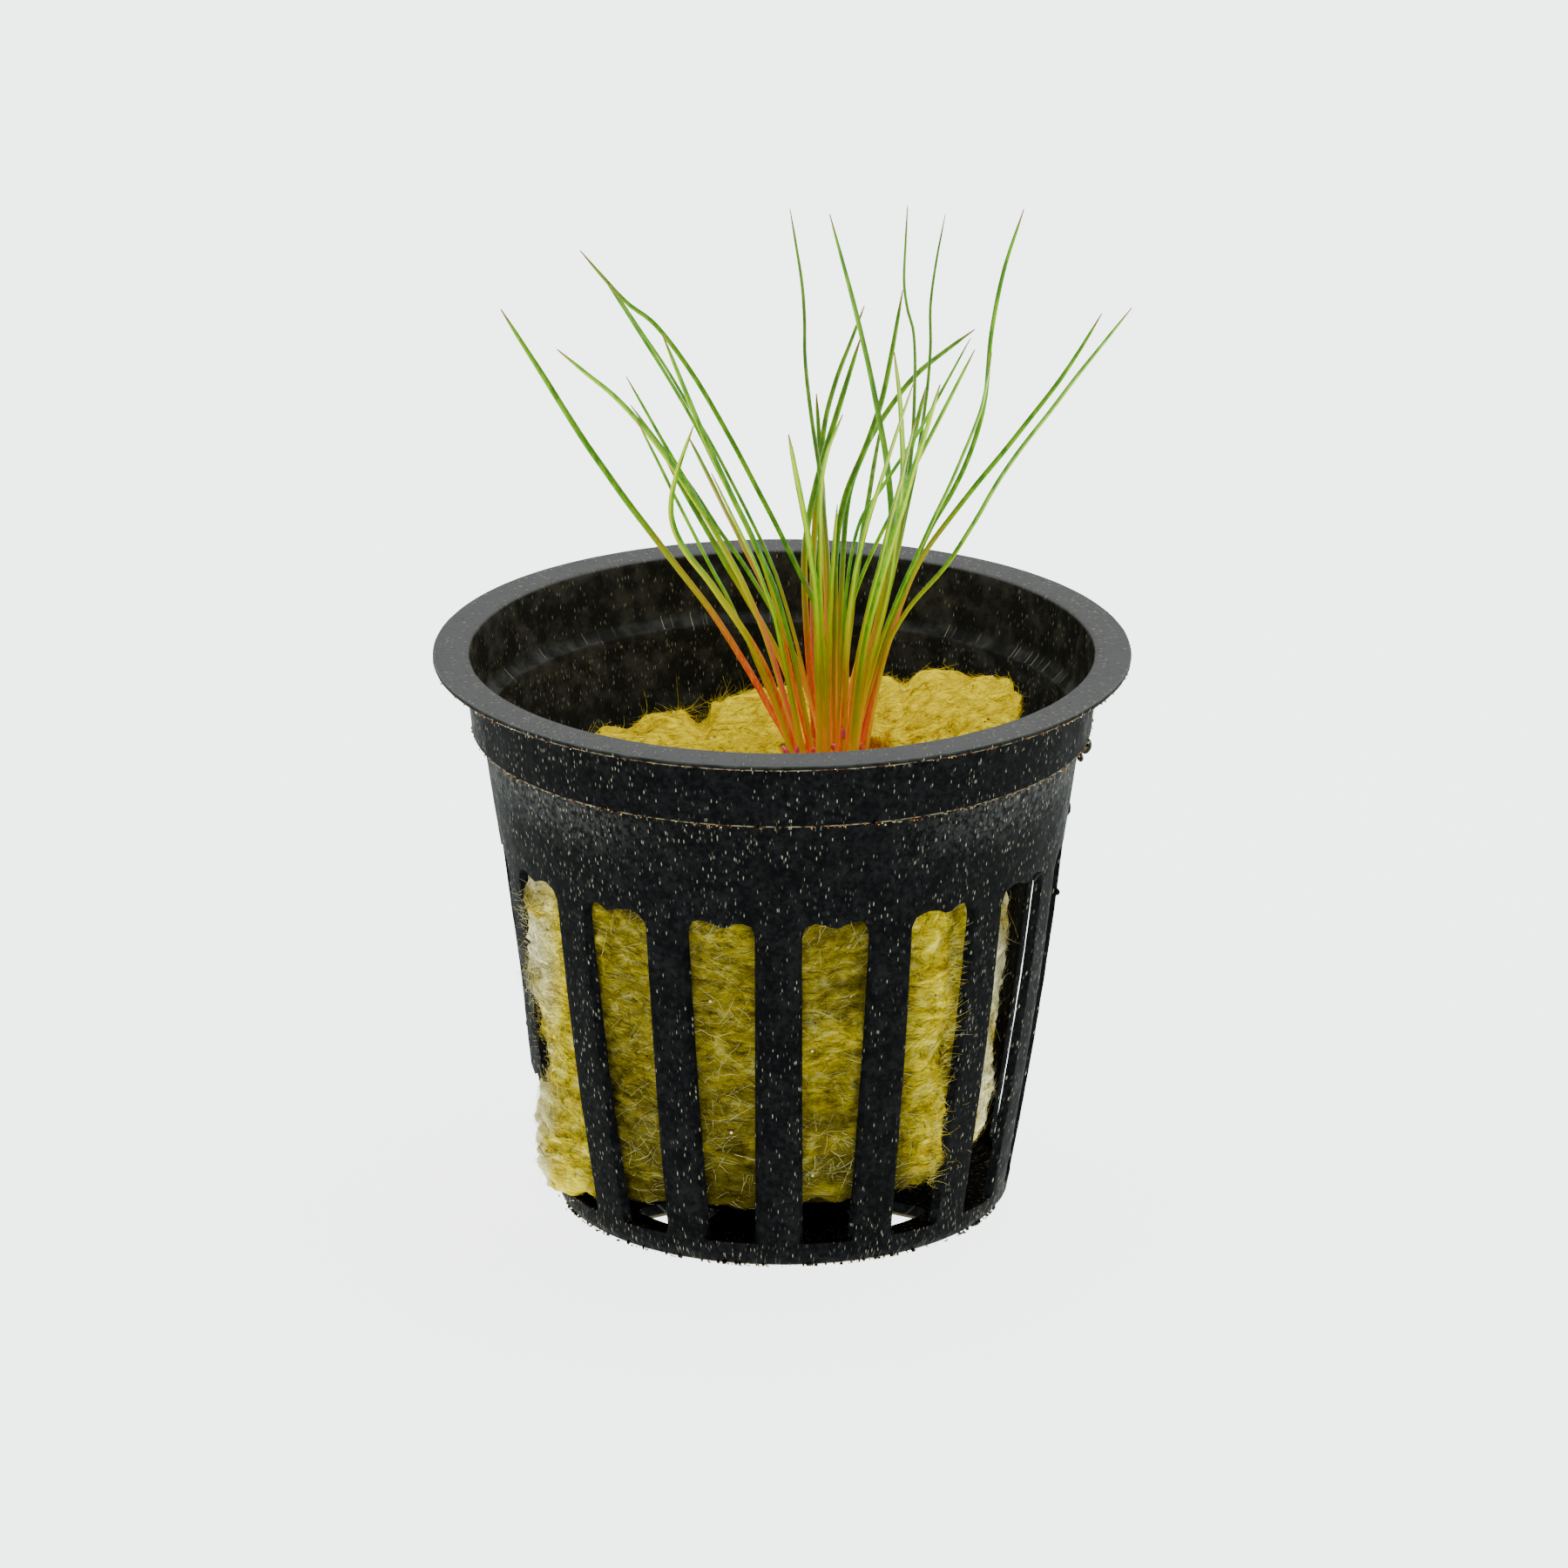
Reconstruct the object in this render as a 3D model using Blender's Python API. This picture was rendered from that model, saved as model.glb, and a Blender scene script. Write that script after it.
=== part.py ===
"""A tuft of fine needle leaves rooted in rock wool, standing in a round net pot.

Lengths are in millimetres up to the moment a mesh is made, and in metres after it.
+Z is up, the front of the pot looks along -Y, and the origin is the middle of the pot's foot.
Angles around the pot are degrees from the front, positive towards +X.
"""

import math

import bmesh
import bpy
from mathutils import Vector, kdtree

MM = 0.001

# Net pot: rim and collar
RIM_TOP = 45.4
RIM_RADIUS = 27.5
RIM_MOUTH = 24.7
RIM_THICKNESS = 0.6
EDGE_ROUNDING = 0.15
COLLAR_RADIUS = 25.1
COLLAR_TAPER = 0.7
COLLAR_BOTTOM = 39.1
LEDGE_TOP = 40.5
LEDGE_BOTTOM = 39.9
LEDGE_DEPTH = 0.8
LEDGE_SEAT = 0.2
POT_STEPS = 60

# Net pot: tapering wall, a little bowed outwards, with its floor
WALL_BASE_RADIUS = 17.6
WALL_SLOPE = 0.1537
WALL_BOW = 0.35
WALL_BOW_TOP = 30.0
WALL_THICKNESS = 0.6
WALL_LEVELS = (30.0, 20.0, 10.0)
FOOT_ROUNDING = 1.0
FOOT_ROUNDING_SHARE = 0.3
FLOOR_THICKNESS = 1.1

# Net pot: slots between ribs, openings in the floor, and the rib that is snapped off
SLOT_COUNT = 15
SLOT_TURN = -0.8
RIB_WIDTH = 3.7
SLOT_BOTTOM = 2.2
SLOT_TOP = 30.2
SLOT_CORNER = 1.3
SLOT_LOWER_CORNER = 0.4
REAR_SHIFT = 3.5
REAR_SHIFT_MIDDLE = 119.2
REAR_SHIFT_REACH = 47.0
SLOT_CUT_NEAR = 16.8
SLOT_CUT_FAR = 26.0
FLOOR_OPENINGS = 4
OPENING_INNER = 9.0
OPENING_OUTER = 13.8
OPENING_INNER_SPREAD = 13.0
OPENING_OUTER_SPREAD = 13.0
OPENING_CORNER = 0.8
BROKEN_RIB_ANGLE = SLOT_TURN - 72.0
BREAK_OUTLINE = (
    (-2.6, 2.3), (-0.7, 2.5), (0.5, 2.0), (2.6, 2.2),
    (2.6, 11.7), (0.9, 12.4), (-0.5, 11.8), (-2.6, 12.3),
)  # fmt: skip

# Rock wool: height, radius and the middle of each ring, from the underside up to the shoulder
WOOL_GAP = 0.35
WOOL_SEGMENTS = 48
WOOL_RINGS = (
    (1.5, 7.5, 0.0, 0.0),
    (4.9, 16.4, -1.4, 0.0),
    (8.0, 18.6, -0.4, -0.4),
    (10.4, 19.2, -0.8, -0.8),
    (11.5, 19.3, -1.0, -1.0),
    (17.0, 19.4, -1.4, -1.4),
    (21.0, 19.5, -1.5, -1.5),
    (29.0, 19.5, -1.5, -1.5),
    (33.5, 19.0, -0.4, -0.9),
)
WOOL_SAG = 3.6
WOOL_SAG_TOP = 10.4
WOOL_FLANK = 15.5
WOOL_FLANK_SLOPE = 0.075
WOOL_SHOULDER = (0.3, 0.2, 18.6)
WOOL_SHOULDER_DROP = 0.9
WOOL_TOP_RINGS = (1.0, 0.78, 0.54)
WOOL_TOP = 37.0
WOOL_RISE = 0.33
WOOL_RISE_FROM = 4.0
WOOL_DIP = 1.5
WOOL_DIP_FROM = 1.0
WOOL_DIP_RUN = 8.0
WOOL_LUMPS = 0.45
SIDE_WAVES = ((3, 0.35, 0.0), (5, -0.21, 1.3))
TOP_WAVE_ACROSS = 0.7
TOP_WAVE_DEEP = 0.55
TOP_WAVE_START = 0.4
FOLD_HEIGHT = 18.6
FOLD_FALL = 0.035
FOLD_DEPTH = 0.9
FOLD_WIDTH = 1.4
BULGE = 1.9
BULGE_SPREAD = 17.0
BULGE_BOTTOM = 2.2
BULGE_TOP = 11.4
BULGE_STEEPNESS = 7.6

# Crown of the plant, sunk in a hollow of the wool
CROWN_X = 3.9
CROWN_Y = -2.5
CROWN_TOP = 37.0
CROWN_HEIGHT = 1.8
CROWN_RADII = (3.6, 4.6)
CROWN_SEGMENTS = 20
CROWN_LEVELS = ((0.8, 1.0), (1.0, 0.5), (0.94, 0.0))
HOLLOW_GAP = 0.35
HOLLOW_FLARE = 0.6
HOLLOW_FLOOR = CROWN_TOP - CROWN_HEIGHT - HOLLOW_GAP

# Leaves: how far back the tip leans, where the foot stands across, then (across, up) along the blade
FOOT_HEIGHT = 37.3
FOOT_LEAN = 0.2
LEAN_POWER = 1.25
LEAF_BASE_RADIUS = 0.30
LEAF_TIP_RADIUS = 0.07
LEAF_TAPER_POWER = 1.7
LEAF_POINTS = 10
LEAF_SIDES_RESOLUTION = 1
COMB_SAMPLES = 48
COMB_ROUNDS = 60
COMB_CLEARANCE = 0.74
COMB_PUSH = 0.35
LEAF_ROUTES = (
    (6, 1.0, (-4.9, 47.4), (-14.1, 59.5), (-22.1, 71.6)),
    (9, 3.9, (3.2, 46.5), (-0.2, 54.3), (-7.8, 67.6), (-12.6, 72.0), (-15.9, 75.5)),
    (-4, 2.3, (-1.2, 52.8), (-4.3, 59.9), (-8.1, 67.7), (-14.3, 78.0)),
    (3, 3.2, (-0.5, 51.6), (-7.1, 64.7), (-13.4, 74.5)),
    (-8, 2.6, (-0.5, 51.9), (-5.9, 64.8), (-9.3, 74.0)),
    (-10, 1.8, (-2.7, 52.1), (-10.6, 66.3), (-17.5, 73.5)),
    (13, 3.5, (0.1, 45.8), (-6.7, 55.2), (-12.0, 61.4)),
    (-3, 1.6, (-2.5, 50.5), (-12.2, 69.0)),
    (-13, 1.3, (-1.1, 45.6), (-4.6, 52.3), (-7.9, 57.6), (-8.6, 61.9), (-6.9, 68.2)),
    (16, 3.6, (-0.5, 46.3), (-7.4, 57.7)),
    (-17, 1.9, (-1.0, 53.1), (-5.5, 65.7)),
    (-12, 1.2, (-3.3, 49.9), (-6.7, 57.6), (-11.3, 68.4)),
    (8, 2.4, (-0.5, 44.8), (-9.1, 58.3)),
    (4, 3.6, (3.5, 54.8), (1.9, 66.8), (1.6, 73.9), (0.6, 80.5)),
    (-16, 3.0, (2.5, 54.4), (0.5, 68.5)),
    (14, 3.8, (3.4, 51.0), (2.7, 62.0)),
    (18, 3.2, (2.4, 47.9), (3.4, 60.1), (6.5, 68.0)),
    (8, 2.7, (1.9, 47.1), (1.9, 54.1), (3.2, 59.5), (6.2, 68.7)),
    (-14, 3.6, (2.9, 58.0), (3.3, 64.9), (4.7, 69.5)),
    (-2, 4.9, (8.5, 55.6), (6.7, 69.8), (3.7, 82.0)),
    (2, 5.1, (9.5, 56.3), (10.4, 69.6), (9.6, 74.7), (9.8, 81.4)),
    (7, 4.8, (7.2, 46.7), (9.5, 54.7), (11.5, 66.1), (11.7, 72.7), (12.8, 79.1)),
    (3, 5.5, (8.2, 47.1), (11.5, 55.3), (14.2, 60.1), (15.9, 65.8), (16.7, 73.4), (18.9, 80.8)),
    (-9, 5.3, (7.4, 46.7), (9.8, 53.6), (15.0, 66.4), (16.3, 72.9)),
    (5, 6.0, (9.2, 48.9), (12.2, 54.6), (17.9, 61.6), (22.1, 66.9), (25.1, 71.6)),
    (-2, 6.5, (7.7, 44.3), (9.2, 48.6), (13.9, 54.8), (18.1, 62.0), (27.3, 74.3)),
    (15, 4.4, (4.9, 52.9), (6.5, 58.9), (10.3, 63.9), (15.2, 67.0)),
    (-5, 4.3, (4.8, 47.8), (5.7, 56.2), (8.0, 60.6), (11.1, 65.7), (14.7, 72.8)),
    (-7, 4.6, (5.1, 45.8), (6.3, 53.3), (15.0, 72.5)),
    (11, 4.1, (4.1, 46.9), (4.5, 54.9), (6.9, 60.9), (8.2, 64.9), (9.5, 71.6)),
    (-11, 5.6, (6.7, 45.4), (8.4, 53.2), (9.3, 61.0), (9.3, 67.6), (8.7, 73.6)),
    (-18, 4.7, (5.3, 51.8), (6.7, 60.3), (10.2, 73.5)),
    (19, 4.5, (9.1, 53.5), (11.4, 60.9)),
    (-15, 5.1, (6.0, 47.5), (7.6, 55.8), (10.4, 69.5)),
    (20, 4.3, (6.0, 49.0), (7.9, 57.7)),
    (-20, 5.4, (6.3, 47.9), (8.2, 57.3), (12.2, 73.9)),
    (-10, 3.4, (3.9, 54.4), (4.3, 60.8)),
)


def clear_scene():
    for item in list(bpy.data.objects):
        bpy.data.objects.remove(item, do_unlink=True)


def principled(name, colour, roughness, metallic=0.0):
    material = bpy.data.materials.new(name)
    material.use_nodes = True
    shader = material.node_tree.nodes["Principled BSDF"]
    shader.inputs["Base Color"].default_value = (*colour, 1.0)
    shader.inputs["Roughness"].default_value = roughness
    shader.inputs["Metallic"].default_value = metallic
    material.diffuse_color = (*colour, 1.0)
    return material


def pot_plastic():
    return principled("pot_plastic", (0.016, 0.016, 0.018), 0.55)


def wool_fibre():
    return principled("wool_fibre", (0.56, 0.43, 0.03), 0.95)


def crown_tissue():
    return principled("crown_tissue", (0.52, 0.16, 0.05), 0.6)


def leaf_green():
    return principled("leaf_green", (0.13, 0.28, 0.03), 0.42)


def new_object(name, data, material):
    data.materials.append(material)
    item = bpy.data.objects.new(name, data)
    bpy.context.scene.collection.objects.link(item)
    return item


def mesh_from(bm, name):
    bmesh.ops.recalc_face_normals(bm, faces=bm.faces)
    mesh = bpy.data.meshes.new(name)
    bm.to_mesh(mesh)
    bm.free()
    return mesh


def around(radius, angle, height):
    """The point at this radius and height, at an angle from the front of the pot."""
    turn = math.radians(angle)
    return Vector((radius * math.sin(turn), -radius * math.cos(turn), height))


def wall_radius(height):
    bow = math.sin(math.pi * min(height, WALL_BOW_TOP) / WALL_BOW_TOP)
    return WALL_BASE_RADIUS + WALL_SLOPE * height + WALL_BOW * bow


def pot_profile():
    """Half the pot's section, from the middle of the floor up inside, over the rim and down outside."""
    inner_levels = [(wall_radius(z) - WALL_THICKNESS, z) for z in reversed(WALL_LEVELS)]
    outer_levels = [(wall_radius(z), z) for z in WALL_LEVELS]
    collar_inner = COLLAR_RADIUS - WALL_THICKNESS - COLLAR_TAPER + LEDGE_SEAT
    rim_bottom = RIM_TOP - RIM_THICKNESS
    wall_top = wall_radius(COLLAR_BOTTOM)
    floor_edge = wall_radius(FLOOR_THICKNESS) - WALL_THICKNESS
    foot_bevel = FOOT_ROUNDING * FOOT_ROUNDING_SHARE
    return [
        (0.0, FLOOR_THICKNESS),
        (floor_edge - FOOT_ROUNDING, FLOOR_THICKNESS),
        (wall_radius(SLOT_BOTTOM) - WALL_THICKNESS, SLOT_BOTTOM),
        *inner_levels,
        (wall_top - WALL_THICKNESS, LEDGE_BOTTOM - EDGE_ROUNDING),
        (collar_inner - LEDGE_DEPTH, LEDGE_BOTTOM),
        (collar_inner, LEDGE_TOP),
        (RIM_MOUTH - EDGE_ROUNDING, RIM_TOP - EDGE_ROUNDING),
        (RIM_MOUTH, RIM_TOP),
        (RIM_RADIUS - EDGE_ROUNDING, RIM_TOP),
        (RIM_RADIUS, RIM_TOP - EDGE_ROUNDING),
        (RIM_RADIUS, rim_bottom + EDGE_ROUNDING),
        (RIM_RADIUS - EDGE_ROUNDING, rim_bottom),
        (COLLAR_RADIUS, rim_bottom),
        (COLLAR_RADIUS - COLLAR_TAPER, COLLAR_BOTTOM),
        (wall_top, COLLAR_BOTTOM),
        *outer_levels,
        (wall_radius(FOOT_ROUNDING), FOOT_ROUNDING),
        (wall_radius(0.0) - foot_bevel, foot_bevel),
        (wall_radius(0.0) - FOOT_ROUNDING, 0.0),
        (0.0, 0.0),
    ]


def hide_cutter(cutter):
    cutter.hide_render = True
    cutter.display_type = "WIRE"


def add_prism(bm, near, far):
    """A closed prism between two outlines of the same number of points, returned as its long edges."""
    near = [bm.verts.new(point * MM) for point in near]
    far = [bm.verts.new(point * MM) for point in far]
    bm.faces.new(near)
    bm.faces.new(list(reversed(far)))
    count = len(near)
    for i in range(count):
        j = (i + 1) % count
        bm.faces.new((near[j], near[i], far[i], far[j]))
    return [bm.edges.get((near[i], far[i])) for i in range(count)]


def slot_angle(slot):
    """The slots are evenly spaced, save that those behind the right-hand side stand a little forward."""
    angle = SLOT_TURN + (slot + 0.5) * 360.0 / SLOT_COUNT
    aside = min(1.0, abs(angle - REAR_SHIFT_MIDDLE) / REAR_SHIFT_REACH)
    return angle - REAR_SHIFT * math.cos(aside * math.pi / 2) ** 2


def slot_outline(depth, angle):
    """A slot's four corners at this distance from the axis, its sides parallel to the ribs beside it."""
    pitch = math.radians(360.0 / SLOT_COUNT)
    half = depth * math.tan(pitch / 2) - RIB_WIDTH / 2 / math.cos(pitch / 2)
    middle = around(depth, angle, 0.0)
    side = around(1.0, angle + 90.0, 0.0)
    corners = ((-half, SLOT_BOTTOM), (half, SLOT_BOTTOM), (half, SLOT_TOP), (-half, SLOT_TOP))
    return [middle + side * across + Vector((0.0, 0.0, height)) for across, height in corners]


def cut_slots():
    bm = bmesh.new()
    lower = []
    upper = []
    for slot in range(SLOT_COUNT):
        near = slot_outline(SLOT_CUT_NEAR, slot_angle(slot))
        far = slot_outline(SLOT_CUT_FAR, slot_angle(slot))
        edges = add_prism(bm, near, far)
        lower += edges[:2]
        upper += edges[2:]
    bmesh.ops.recalc_face_normals(bm, faces=bm.faces)
    for edges, corner in ((lower, SLOT_LOWER_CORNER), (upper, SLOT_CORNER)):
        bmesh.ops.bevel(bm, geom=edges, offset=corner * MM, segments=2, profile=0.5, affect="EDGES")
    return mesh_from(bm, "slot_cutter")


def cut_floor():
    bm = bmesh.new()
    rounded = []
    for opening in range(FLOOR_OPENINGS):
        angle = (opening + 0.5) * 360.0 / FLOOR_OPENINGS
        corners = (
            (OPENING_INNER, angle - OPENING_INNER_SPREAD),
            (OPENING_OUTER, angle - OPENING_OUTER_SPREAD),
            (OPENING_OUTER, angle),
            (OPENING_OUTER, angle + OPENING_OUTER_SPREAD),
            (OPENING_INNER, angle + OPENING_INNER_SPREAD),
        )
        low = [around(radius, turn, -FLOOR_THICKNESS) for radius, turn in corners]
        high = [around(radius, turn, 2 * FLOOR_THICKNESS) for radius, turn in corners]
        edges = add_prism(bm, low, high)
        rounded += [edges[i] for i in (0, 1, 3, 4)]
    bmesh.ops.recalc_face_normals(bm, faces=bm.faces)
    bmesh.ops.bevel(bm, geom=rounded, offset=OPENING_CORNER * MM, segments=2, profile=0.5, affect="EDGES")
    return mesh_from(bm, "floor_cutter")


def cut_broken_rib():
    """The stretch that is missing from one rib, ragged at both ends."""
    bm = bmesh.new()
    side = around(1.0, BROKEN_RIB_ANGLE + 90.0, 0.0)
    outlines = []
    for depth in (SLOT_CUT_NEAR, SLOT_CUT_FAR):
        middle = around(depth, BROKEN_RIB_ANGLE, 0.0)
        outlines.append([middle + side * across + Vector((0, 0, up)) for across, up in BREAK_OUTLINE])
    add_prism(bm, *outlines)
    return mesh_from(bm, "break_cutter")


def make_net_pot():
    mesh = bpy.data.meshes.new("net_pot")
    profile = [(radius * MM, 0.0, height * MM) for radius, height in pot_profile()]
    mesh.from_pydata(profile, [(i, i + 1) for i in range(len(profile) - 1)], [])
    plastic = pot_plastic()
    pot = new_object("net_pot", mesh, plastic)
    turn = pot.modifiers.new("turned_shell", "SCREW")
    turn.steps = POT_STEPS
    turn.render_steps = POT_STEPS
    turn.use_merge_vertices = True
    turn.merge_threshold = 0.00001
    for cutter_mesh in (cut_slots(), cut_floor(), cut_broken_rib()):
        cutter = new_object(cutter_mesh.name, cutter_mesh, plastic)
        hide_cutter(cutter)
        cut = pot.modifiers.new("cut_" + cutter.name, "BOOLEAN")
        cut.operation = "DIFFERENCE"
        cut.solver = "EXACT"
        cut.object = cutter
    mesh.shade_smooth()
    return pot


def plug_reach(angle, radius, middle_x, middle_y):
    """How far the plug, a circle off the pot's axis, reaches from that axis in one direction."""
    heading = around(1.0, angle, 0.0)
    along = heading.x * middle_x + heading.y * middle_y
    aside = heading.x * middle_y - heading.y * middle_x
    return along + math.sqrt(radius * radius - aside * aside)


def fold_depth(angle, height):
    """The wool is folded over on itself, which leaves a crease that falls towards the sides."""
    crease = FOLD_HEIGHT - FOLD_FALL * abs(angle)
    return FOLD_DEPTH * math.exp(-(((height - crease) / FOLD_WIDTH) ** 2))


def bulge_depth(angle, height):
    """Wool swells out through the gap that the broken rib leaves."""
    aside = (angle - BROKEN_RIB_ANGLE) / BULGE_SPREAD
    upright = (height - BULGE_BOTTOM) / (BULGE_TOP - BULGE_BOTTOM)
    if abs(aside) >= 1.0 or not 0.0 < upright < 1.0:
        return 0.0
    return BULGE * math.cos(aside * math.pi / 2) ** 2 * min(1.0, BULGE_STEEPNESS * upright * (1.0 - upright))


def lump(angle, height):
    """Soft lumps around the side of the wool, between -1 and 1."""
    turn = math.radians(angle)
    waves = [math.sin(count * turn + climb * height + start) for count, climb, start in SIDE_WAVES]
    return sum(waves) / len(waves)


def sagged(angle, height):
    """The lower part of the wool hangs down towards the gap that the broken rib leaves."""
    towards = max(0.0, math.cos(math.radians(angle - BROKEN_RIB_ANGLE))) ** 4
    sunk = WOOL_SAG * towards * max(0.0, 1.0 - height / WOOL_SAG_TOP)
    return max(FLOOR_THICKNESS + WOOL_GAP, height - sunk)


def flank_reach(angle, height):
    """How far the wool reaches before it meets the flat that it is cut to on its right-hand side."""
    sideways = max(0.01, math.sin(math.radians(angle)))
    return (WOOL_FLANK + WOOL_FLANK_SLOPE * height) / sideways


def wool_side(angle, height, radius, middle_x, middle_y):
    reach = min(plug_reach(angle, radius, middle_x, middle_y), flank_reach(angle, height))
    reach -= WOOL_LUMPS * (1.0 + lump(angle, height)) / 2
    reach = min(reach, wall_radius(height) - WALL_THICKNESS - WOOL_GAP)
    reach += bulge_depth(angle, height) - fold_depth(angle, height)
    return around(reach, angle, sagged(angle, height))


def wool_height(x, y):
    """The top of the wool climbs to one side and dips to the other, in soft waves."""
    climb = WOOL_RISE * max(0.0, x - WOOL_RISE_FROM)
    climb -= WOOL_DIP * min(1.0, max(0.0, WOOL_DIP_FROM - x) / WOOL_DIP_RUN)
    wave = math.sin(TOP_WAVE_ACROSS * x + TOP_WAVE_START) * math.cos(TOP_WAVE_DEEP * y)
    return WOOL_TOP + climb + WOOL_LUMPS * wave


def wool_top_ring(share):
    """One ring of the top, drawn in towards the crown by this share of the shoulder's reach."""
    middle_x, middle_y, radius = WOOL_SHOULDER
    ring = []
    for step in range(WOOL_SEGMENTS):
        angle = step * 360.0 / WOOL_SEGMENTS
        edge = around(plug_reach(angle, radius, middle_x, middle_y), angle, 0.0)
        x = CROWN_X + share * (edge.x - CROWN_X)
        y = CROWN_Y + share * (edge.y - CROWN_Y)
        drop = WOOL_SHOULDER_DROP if share == 1.0 else 0.0
        ring.append(Vector((x, y, wool_height(x, y) - drop)))
    return ring


def hollow_ring(gap, height=None):
    """An oval ring around the crown, at a height or lying on the top of the wool."""
    ring = []
    for step in range(WOOL_SEGMENTS):
        heading = around(1.0, step * 360.0 / WOOL_SEGMENTS, 0.0)
        x = CROWN_X + (CROWN_RADII[0] + gap) * heading.x
        y = CROWN_Y + (CROWN_RADII[1] + gap) * heading.y
        ring.append(Vector((x, y, wool_height(x, y) if height is None else height)))
    return ring


def wool_rings():
    angles = [step * 360.0 / WOOL_SEGMENTS for step in range(WOOL_SEGMENTS)]
    signed = [angle - 360.0 if angle > 180.0 else angle for angle in angles]
    sides = [
        [wool_side(angle, height, radius, x, y) for angle in signed]
        for height, radius, x, y in WOOL_RINGS
    ]
    top = [wool_top_ring(share) for share in WOOL_TOP_RINGS]
    hollow = [hollow_ring(HOLLOW_GAP + HOLLOW_FLARE), hollow_ring(HOLLOW_GAP, HOLLOW_FLOOR)]
    return sides + top + hollow


def make_rock_wool():
    bm = bmesh.new()
    rings = [[bm.verts.new(point * MM) for point in ring] for ring in wool_rings()]
    for lower, upper in zip(rings, rings[1:]):
        for i in range(WOOL_SEGMENTS):
            j = (i + 1) % WOOL_SEGMENTS
            bm.faces.new((lower[i], lower[j], upper[j], upper[i]))
    underside = bm.verts.new(Vector((0.0, 0.0, WOOL_RINGS[0][0])) * MM)
    hollow = bm.verts.new(Vector((CROWN_X, CROWN_Y, HOLLOW_FLOOR)) * MM)
    for i in range(WOOL_SEGMENTS):
        j = (i + 1) % WOOL_SEGMENTS
        bm.faces.new((rings[0][j], rings[0][i], underside))
        bm.faces.new((rings[-1][i], rings[-1][j], hollow))
    mesh = mesh_from(bm, "rock_wool")
    mesh.shade_smooth()
    return new_object("rock_wool", mesh, wool_fibre())


def make_crown():
    """The short stem base that all the leaves spring from, an oval button."""
    bm = bmesh.new()
    across, deep = CROWN_RADII
    rings = []
    for share, depth in CROWN_LEVELS:
        points = [around(1.0, i * 360.0 / CROWN_SEGMENTS, 0.0) for i in range(CROWN_SEGMENTS)]
        rings.append([
            bm.verts.new(Vector((
                CROWN_X + share * across * p.x,
                CROWN_Y + share * deep * p.y,
                CROWN_TOP - depth * CROWN_HEIGHT,
            )) * MM)
            for p in points
        ])  # fmt: skip
    bm.faces.new(rings[0])
    bm.faces.new(rings[-1])
    for lower, upper in zip(rings, rings[1:]):
        for i in range(CROWN_SEGMENTS):
            j = (i + 1) % CROWN_SEGMENTS
            bm.faces.new((lower[i], lower[j], upper[j], upper[i]))
    mesh = mesh_from(bm, "crown")
    mesh.shade_smooth()
    return new_object("crown", mesh, crown_tissue())


def spline_point(points, share):
    """A point on the smooth curve through all the points, at a share of the way along it."""
    place = share * (len(points) - 1)
    i = min(int(place), len(points) - 2)
    t = place - i
    p1, p2 = points[i], points[i + 1]
    p0 = points[i - 1] if i else p1 * 2 - p2
    p3 = points[i + 2] if i + 2 < len(points) else p2 * 2 - p1
    return 0.5 * (
        2 * p1
        + (p2 - p0) * t
        + (2 * p0 - 5 * p1 + 4 * p2 - p3) * t**2
        + (3 * p1 - p0 - 3 * p2 + p3) * t**3
    )


def leaf_line(lean, foot_across, *route):
    """A leaf's middle line from foot to tip, leaning further back or forward as it rises."""
    flat = [Vector((across, 0.0, up)) for across, up in ((foot_across, FOOT_HEIGHT), *route)]
    steps = [0.0]
    for low, high in zip(flat, flat[1:]):
        steps.append(steps[-1] + (high - low).length)
    foot_depth = CROWN_Y + FOOT_LEAN * lean
    for point, step in zip(flat, steps):
        share = (step / steps[-1]) ** LEAN_POWER
        point.y = foot_depth + (lean - foot_depth) * share
    return [spline_point(flat, i / (COMB_SAMPLES - 1)) for i in range(COMB_SAMPLES)]


def smoothed(shifts):
    """Evens out the shifts along one leaf."""
    for _ in range(2):
        ends = [shifts[0], *shifts, shifts[-1]]
        shifts = [(a + 2 * b + c) / 4 for a, b, c in zip(ends, ends[1:], ends[2:])]
    return shifts


def combed(lines):
    """Eases leaves that cross or touch past each other, forwards and backwards only."""
    for _ in range(COMB_ROUNDS):
        tree = kdtree.KDTree(len(lines) * COMB_SAMPLES)
        for leaf, line in enumerate(lines):
            for i, point in enumerate(line):
                tree.insert(point, leaf * COMB_SAMPLES + i)
        tree.balance()
        for leaf, line in enumerate(lines):
            shifts = []
            for point in line:
                push = 0.0
                for other, index, distance in tree.find_range(point, COMB_CLEARANCE):
                    rival = index // COMB_SAMPLES
                    if rival != leaf:
                        ahead = point.y - other.y or (leaf - rival) * MM
                        push += math.copysign(COMB_PUSH * (COMB_CLEARANCE - distance), ahead)
                shifts.append(push)
            for point, shift in zip(line, smoothed(shifts)):
                point.y += shift
    return lines


def make_leaf(name, line, material):
    curve = bpy.data.curves.new(name, "CURVE")
    curve.dimensions = "3D"
    curve.bevel_depth = LEAF_BASE_RADIUS * MM
    curve.bevel_resolution = LEAF_SIDES_RESOLUTION
    curve.use_fill_caps = True
    spline = curve.splines.new("POLY")
    spline.points.add(LEAF_POINTS - 1)
    for i, knot in enumerate(spline.points):
        share = i / (LEAF_POINTS - 1)
        knot.co = (*(spline_point(line, share) * MM), 1.0)
        tip = LEAF_TIP_RADIUS / LEAF_BASE_RADIUS
        knot.radius = tip + (1.0 - tip) * (1.0 - share**LEAF_TAPER_POWER)
    spline.use_smooth = True
    return new_object(name, curve, material)


def make_leaves():
    green = leaf_green()
    lines = combed([leaf_line(*route) for route in LEAF_ROUTES])
    for number, line in enumerate(lines, start=1):
        make_leaf(f"leaf_{number:02d}", line, green)


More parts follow.
